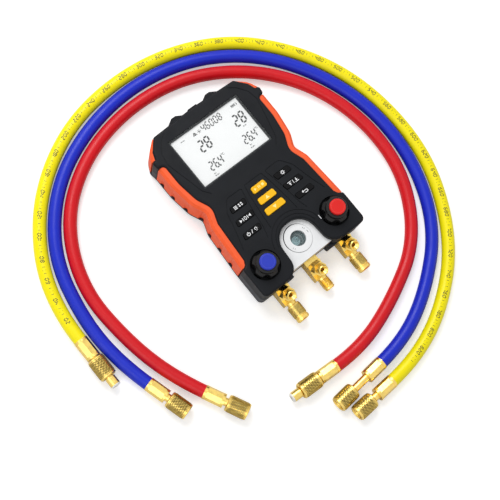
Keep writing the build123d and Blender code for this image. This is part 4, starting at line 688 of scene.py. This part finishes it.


def add_sight_details():
    """Stem of the sight bore, its ground and a thin liner on its wall painted dark as the bore's
    shade, and the marks of the ring with a painted shadow in its gap.
    """
    x, y = RING_MIDDLE
    matrix = Matrix.Translation((x, y, 0))
    foot = node_box("sight_plunger")[0][2]
    # the bore's ground below the stem, painted dark as its shade
    steps = [
        (foot, INSERT_RADIUS), (INSERT_TOP - 0.4, INSERT_RADIUS), (INSERT_TOP, 6.4),
        (INSERT_TOP, 5.3), (INSERT_TOP - 0.4, 4.9), (foot, 4.9),
    ]
    points, faces = lathe(matrix, steps)
    sleeve = make_piece("sight_sleeve", points, faces, BORE_SHADE, "gauge", STEEL_ANGLE)
    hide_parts("sight_plunger")
    steps = [
        (foot, 0.01), (foot, STEM_RADIUS), (18.4, STEM_RADIUS), (STEM_TOP, 4.1), (STEM_TOP, 3.0),
        (18.6, 2.7), hexagon_step(18.6, 4.0), hexagon_step(STEM_SOCKET, 4.0), (STEM_SOCKET, 0.01),
    ]
    points, faces = lathe(matrix, steps)
    make_piece("sight_stem", points, faces, TEAL_STEEL, "gauge", STEEL_ANGLE)
    # thin sheet of painted shade on the bore's wall
    steps = [
        (SHADE_LINER_LOW, SHADE_LINER_OUTER), (SHADE_LINER_LOW, SHADE_LINER_INNER), (SHADE_LINER_HIGH, SHADE_LINER_INNER),
        (SHADE_LINER_HIGH, SHADE_LINER_OUTER), (SHADE_LINER_LOW, SHADE_LINER_OUTER),
    ]
    points, faces = lathe(matrix, steps)
    make_piece("bore_painted_shade", points, faces, BORE_SHADE, "gauge", STEEL_ANGLE)
    shapes = [ray(x, y, radians(angle), 10.2, 11.3, 0.4) for angle in (20, 28, 205, 215)]
    shapes += arc_band(x, y, 11.0, 0.4, -8, 14, 6)
    make_marks("ring_marks", shapes, RING_HIGH[2] + LIFT, MARK_AND_SHADOW_GREY, "gauge")
    # painted shadow: a grey crescent in the gap round the ring, widest at one side, for the shade that
    # the ring's chamfer casts into the gap
    points, faces = [], []
    seat_z = node_box("manifold_block")[1][2] + LIFT
    for i in range(GAP_STEPS):
        a = 2 * pi * i / GAP_STEPS
        width = GAP_SHADOW_NARROW + GAP_SHADOW_WIDEN * max(0, cos(a - GAP_SHADOW_ANGLE)) ** 0.6
        for radius in (GAP_RADIUS, GAP_RADIUS + width):
            points.append((x + radius * cos(a), y + radius * sin(a), seat_z))
        j = (i + 1) % GAP_STEPS
        faces.append((2 * i, 2 * i + 1, 2 * j + 1, 2 * j))
    make_piece("ring_gap_shadow", points, faces, MARK_AND_SHADOW_GREY, "gauge")


def add_cap_rings():
    """Thin raised line near the rim of each knob's cap, in a lighter painted highlight colour."""
    for word, material, slot_name in (("low", RIM_BLUE_HIGHLIGHT, "cap_blue"), ("high", RIM_RED_HIGHLIGHT, "cap_red")):
        low, high = node_box("cap_" + word)
        matrix = Matrix.Translation(((low[0] + high[0]) / 2, (low[1] + high[1]) / 2, high[2]))
        steps = [(0.0, 5.75), (0.12, 5.85), (0.12, 6.1), (0.0, 6.2)]
        points, faces = lathe(matrix, steps)
        make_piece("cap_line_" + word, points, faces, material, "hand_wheel_" + word, 40)


def add_dust_cap(word):
    """Knurled dust cap with a smooth collar at its closed end."""
    low, high = node_box("dust_cap_" + word)
    x, z = (low[0] + high[0]) / 2, (low[2] + high[2]) / 2
    matrix = axis_frame((x, high[1], z), (0, -1, 0))
    length = high[1] - low[1]
    radius, rim, bore, depth = 6.7, 6.5, 5.6, 0.4
    band_low, band_high, ground = 1.5, 11.3, radius - depth - KNURL_SINK
    steps = [(0, bore), (0, rim - 0.4), (0.5, rim), (1.3, rim)]
    steps += [(band_low, ground), (band_high, ground)]
    steps += [(11.5, rim), (12.0, rim), (12.3, rim - 0.45), (12.9, rim - 0.45), (13.2, rim)]
    steps += [(length - 1.3, rim), (length - 0.3, rim - 1.1), (length, rim - 1.9), (length, 0.01)]
    steps = [(length - 2.0, 0.01), (length - 2.0, bore), (0.4, bore)] + steps
    turned = lathe(matrix, steps)
    diamonds = knurl(matrix, band_low, band_high, radius, depth, CAP_DIAMONDS, CAP_FLAT)
    points, faces = join([turned, diamonds])
    # side faces of the diamonds in painted shade
    grooves = BRASS_GROOVE_SHADE, groove_faces(len(turned[1]), len(diamonds[1]))
    name, body = "knurled_cap_" + word, "port_cap_" + word
    piece = make_piece(name, points, faces, BRASS, body, TURNED_ANGLE, grooves)
    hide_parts("dust_cap_" + word)


PORT_TILT = radians(58)     # lean of the face that carries the angled fitting
PORT_SEAT_BACK, PORT_SEAT_Z = 9.74, 16.8
PORT_BLOCK_LENGTH, PORT_BLOCK_LOW, PORT_BLOCK_TOP, PORT_BLOCK_FRONT = 20.5, 3, 16.6, 13.6
PORT_AXIS_Z = 9.0


def add_middle_port():
    """Brass block of the open port with its threaded male flare."""
    low, high = node_box("port_body_middle")
    back_y = high[1]
    slope_y, slope_z = sin(PORT_TILT), cos(PORT_TILT)
    seat_y = back_y - PORT_SEAT_BACK
    lower, upper = (PORT_BLOCK_FRONT - PORT_SEAT_Z) / slope_z, 5.28
    front_y = back_y - PORT_BLOCK_LENGTH
    side = [
        (back_y, PORT_BLOCK_LOW), (back_y, PORT_BLOCK_TOP),
        (seat_y + upper * slope_y, PORT_BLOCK_TOP),
        (seat_y + upper * slope_y, PORT_SEAT_Z + upper * slope_z),
        (seat_y + lower * slope_y, PORT_BLOCK_FRONT), (front_y, PORT_BLOCK_FRONT),
        (front_y, PORT_BLOCK_LOW),
    ]
    half, edge = 7.0, 0.35
    mesh = bmesh.new()
    left = [mesh.verts.new((-half, y, z)) for y, z in side]
    right = [mesh.verts.new((half, y, z)) for y, z in side]
    mesh.faces.new(left)
    mesh.faces.new(right[::-1])
    for i in range(len(side)):
        j = (i + 1) % len(side)
        mesh.faces.new((left[j], left[i], right[i], right[j]))
    bmesh.ops.recalc_face_normals(mesh, faces=mesh.faces)
    bmesh.ops.bevel(mesh, geom=mesh.edges[:], offset=edge, segments=2, affect="EDGES")
    mesh.verts.index_update()
    block_points = [v.co.copy() for v in mesh.verts]
    block_faces = [tuple(v.index for v in f.verts) for f in mesh.faces]
    mesh.free()
    matrix = axis_frame((0, front_y, PORT_AXIS_Z), (0, -1, 0))
    length = front_y - low[1]
    steps = [(0, 4.9), (1.9, 4.9), (2.3, 4.5)] + thread(2.4, length - 2.2, 4.85, 5.55, FLARE_PITCH)
    steps += [(length - 2.0, 4.9), (length - 1.0, 4.9), (length, 4.1), (length, 2.6)]
    steps += [(length - 0.6, 2.2), (2.0, 2.2), (2.0, 0.01)]
    points, faces = join([(block_points, block_faces), lathe(matrix, steps)])
    piece = make_piece("threaded_port", points, faces, BRASS, "gauge", TURNED_ANGLE)
    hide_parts("port_body_middle")


add_sight_details()
add_cap_rings()
for word in ("left", "right"):
    add_dust_cap(word)
add_middle_port()
tick = stroke(26.7, -44.6, 26.8, -48.9, 0.6)
make_marks("face_tick", [tick], FACE_Z + LIFT, MARK_WHITE, "gauge")


# ---- lengths printed on the yellow hose -----------------------------------------------------------
SCALE_STEP = 20             # millimetres between figures
SCALE_LIFT = 0.03           # ink above the hose


def route_points(colour):
    """Points along a hose's own smooth line, in millimetres."""
    bare = tubes[colour].data.copy()
    bare.bevel_depth = 0
    bare.resolution_u = 24
    holder = bpy.data.objects.new("route", bare)
    bpy.context.scene.collection.objects.link(holder)
    graph = bpy.context.evaluated_depsgraph_get()
    mesh = bpy.data.meshes.new_from_object(holder.evaluated_get(graph))
    points = [v.co / MM for v in mesh.vertices]
    bpy.data.meshes.remove(mesh)
    bpy.data.objects.remove(holder)
    bpy.data.curves.remove(bare)
    return points


def along_route(points):
    """Function that gives place and direction at a distance along the points."""
    distances = [0.0]
    for before, after in zip(points, points[1:]):
        distances.append(distances[-1] + (after - before).length)

    def at(distance):
        low, high = 0, len(points) - 2
        while low < high:
            middle = (low + high + 1) // 2
            if distances[middle] <= distance:
                low = middle
            else:
                high = middle - 1
        run = points[low + 1] - points[low]
        share = (distance - distances[low]) / run.length
        return points[low] + run * share, run.normalized()

    return at, distances[-1]


def add_hose_scale(colour):
    """Plain length scale printed along the top of a hose: figures with ticks between."""
    at, total = along_route(route_points(colour))
    reach = HOSE_DIAMETER / 2 + SCALE_LIFT
    shapes = []
    for i in range(1, int(total / SCALE_STEP)):
        middle = i * SCALE_STEP
        for shape in number(str(middle), 0, 0, 1.9, 3.3, 0.75, 3.1):
            shapes.append([(px + middle, py) for px, py in shape])
        for offset, height in ((7.0, 1.8), (10.0, 3.0), (13.0, 1.8)):
            shapes.append(bar(middle + offset, 0, 0.6, height))
    points, faces = [], []
    for shape in shapes:
        base = len(points)
        for px, py in shape:
            centre, run = at(px)
            side = run.cross(Vector((0, 0, 1))).normalized()
            up = side.cross(run)
            angle = -py / reach
            points.append(centre + (up * cos(angle) + side * sin(angle)) * reach)
        faces.append(tuple(range(base, base + len(shape))))
    name, slot_name = "length_scale_" + colour, "hose_" + colour
    return make_piece(name, points, faces, MARK_BLACK, "gauge")


on_hose["yellow"].append(add_hose_scale("yellow"))


# ---- floor, lamps and world -------------------------------------------------------------------------
# in metres, watts and shares of white
FLOOR_REACH, FLOOR_DROP, FLOOR_SHADE = 6.0, 0.0002, 0.86
FLOOR_GLOW = 0.40
AMBIENT = 0.42
KEY_LAMP = (0.15, 0.9, 1.3), 0.9, 15
FILL_LAMP = (-1.0, -0.2, 1.2), 1.0, 5


def add_floor():
    """White table that keeps the soft shadows and reads as white to the camera."""
    mesh = bpy.data.meshes.new("floor")
    corners = ((-1, -1), (1, -1), (1, 1), (-1, 1))
    points = [(x * FLOOR_REACH, y * FLOOR_REACH, 0) for x, y in corners]
    mesh.from_pydata(points, [], [(0, 1, 2, 3)])
    floor = bpy.data.objects.new("floor", mesh)
    floor.location.z = -FLOOR_DROP
    bpy.context.scene.collection.objects.link(floor)
    material, shader = new_material("floor_white", [FLOOR_SHADE] * 3, 0.8, specular=0.1)
    tree = material.node_tree
    glow = tree.nodes.new("ShaderNodeEmission")
    glow.inputs["Color"].default_value = (1, 1, 1, 1)
    path = tree.nodes.new("ShaderNodeLightPath")
    gain = tree.nodes.new("ShaderNodeMath")
    gain.operation = "MULTIPLY"
    gain.inputs[1].default_value = FLOOR_GLOW
    add = tree.nodes.new("ShaderNodeAddShader")
    tree.links.new(path.outputs["Is Camera Ray"], gain.inputs[0])
    tree.links.new(gain.outputs["Value"], glow.inputs["Strength"])
    tree.links.new(shader.outputs["BSDF"], add.inputs[0])
    tree.links.new(glow.outputs["Emission"], add.inputs[1])
    tree.links.new(add.outputs["Shader"], tree.nodes["Material Output"].inputs["Surface"])
    mesh.materials.append(material)


def add_softbox(name, place, size, power):
    """Square area lamp aimed at the part's origin."""
    data = bpy.data.lights.new(name, "AREA")
    data.shape = "RECTANGLE"
    data.size = data.size_y = size
    data.energy = power
    lamp = bpy.data.objects.new(name, data)
    lamp.location = place
    lamp.rotation_euler = Vector(place).to_track_quat("Z", "Y").to_euler()
    bpy.context.scene.collection.objects.link(lamp)


def add_world(ambient):
    """White to the camera and in gloss and glass, and a soft even light to everything else."""
    world = bpy.data.worlds.new("studio")
    bpy.context.scene.world = world
    world.use_nodes = True
    tree = world.node_tree
    light = tree.nodes["Background"]
    light.inputs["Color"].default_value = (1, 1, 1, 1)
    light.inputs["Strength"].default_value = ambient
    white = tree.nodes.new("ShaderNodeBackground")
    white.inputs["Color"].default_value = (1, 1, 1, 1)
    white.inputs["Strength"].default_value = 1.0
    path = tree.nodes.new("ShaderNodeLightPath")
    mix = tree.nodes.new("ShaderNodeMixShader")
    seen = path.outputs["Is Camera Ray"]
    for ray_kind in ("Is Glossy Ray", "Is Transmission Ray"):
        either = tree.nodes.new("ShaderNodeMath")
        either.operation = "MAXIMUM"
        tree.links.new(seen, either.inputs[0])
        tree.links.new(path.outputs[ray_kind], either.inputs[1])
        seen = either.outputs["Value"]
    tree.links.new(seen, mix.inputs["Fac"])
    tree.links.new(light.outputs["Background"], mix.inputs[1])
    tree.links.new(white.outputs["Background"], mix.inputs[2])
    tree.links.new(mix.outputs["Shader"], tree.nodes["World Output"].inputs["Surface"])


add_floor()
add_softbox("key_lamp", *KEY_LAMP)
add_softbox("fill_lamp", *FILL_LAMP)
add_world(AMBIENT)
bpy.context.scene.view_settings.view_transform = "Standard"
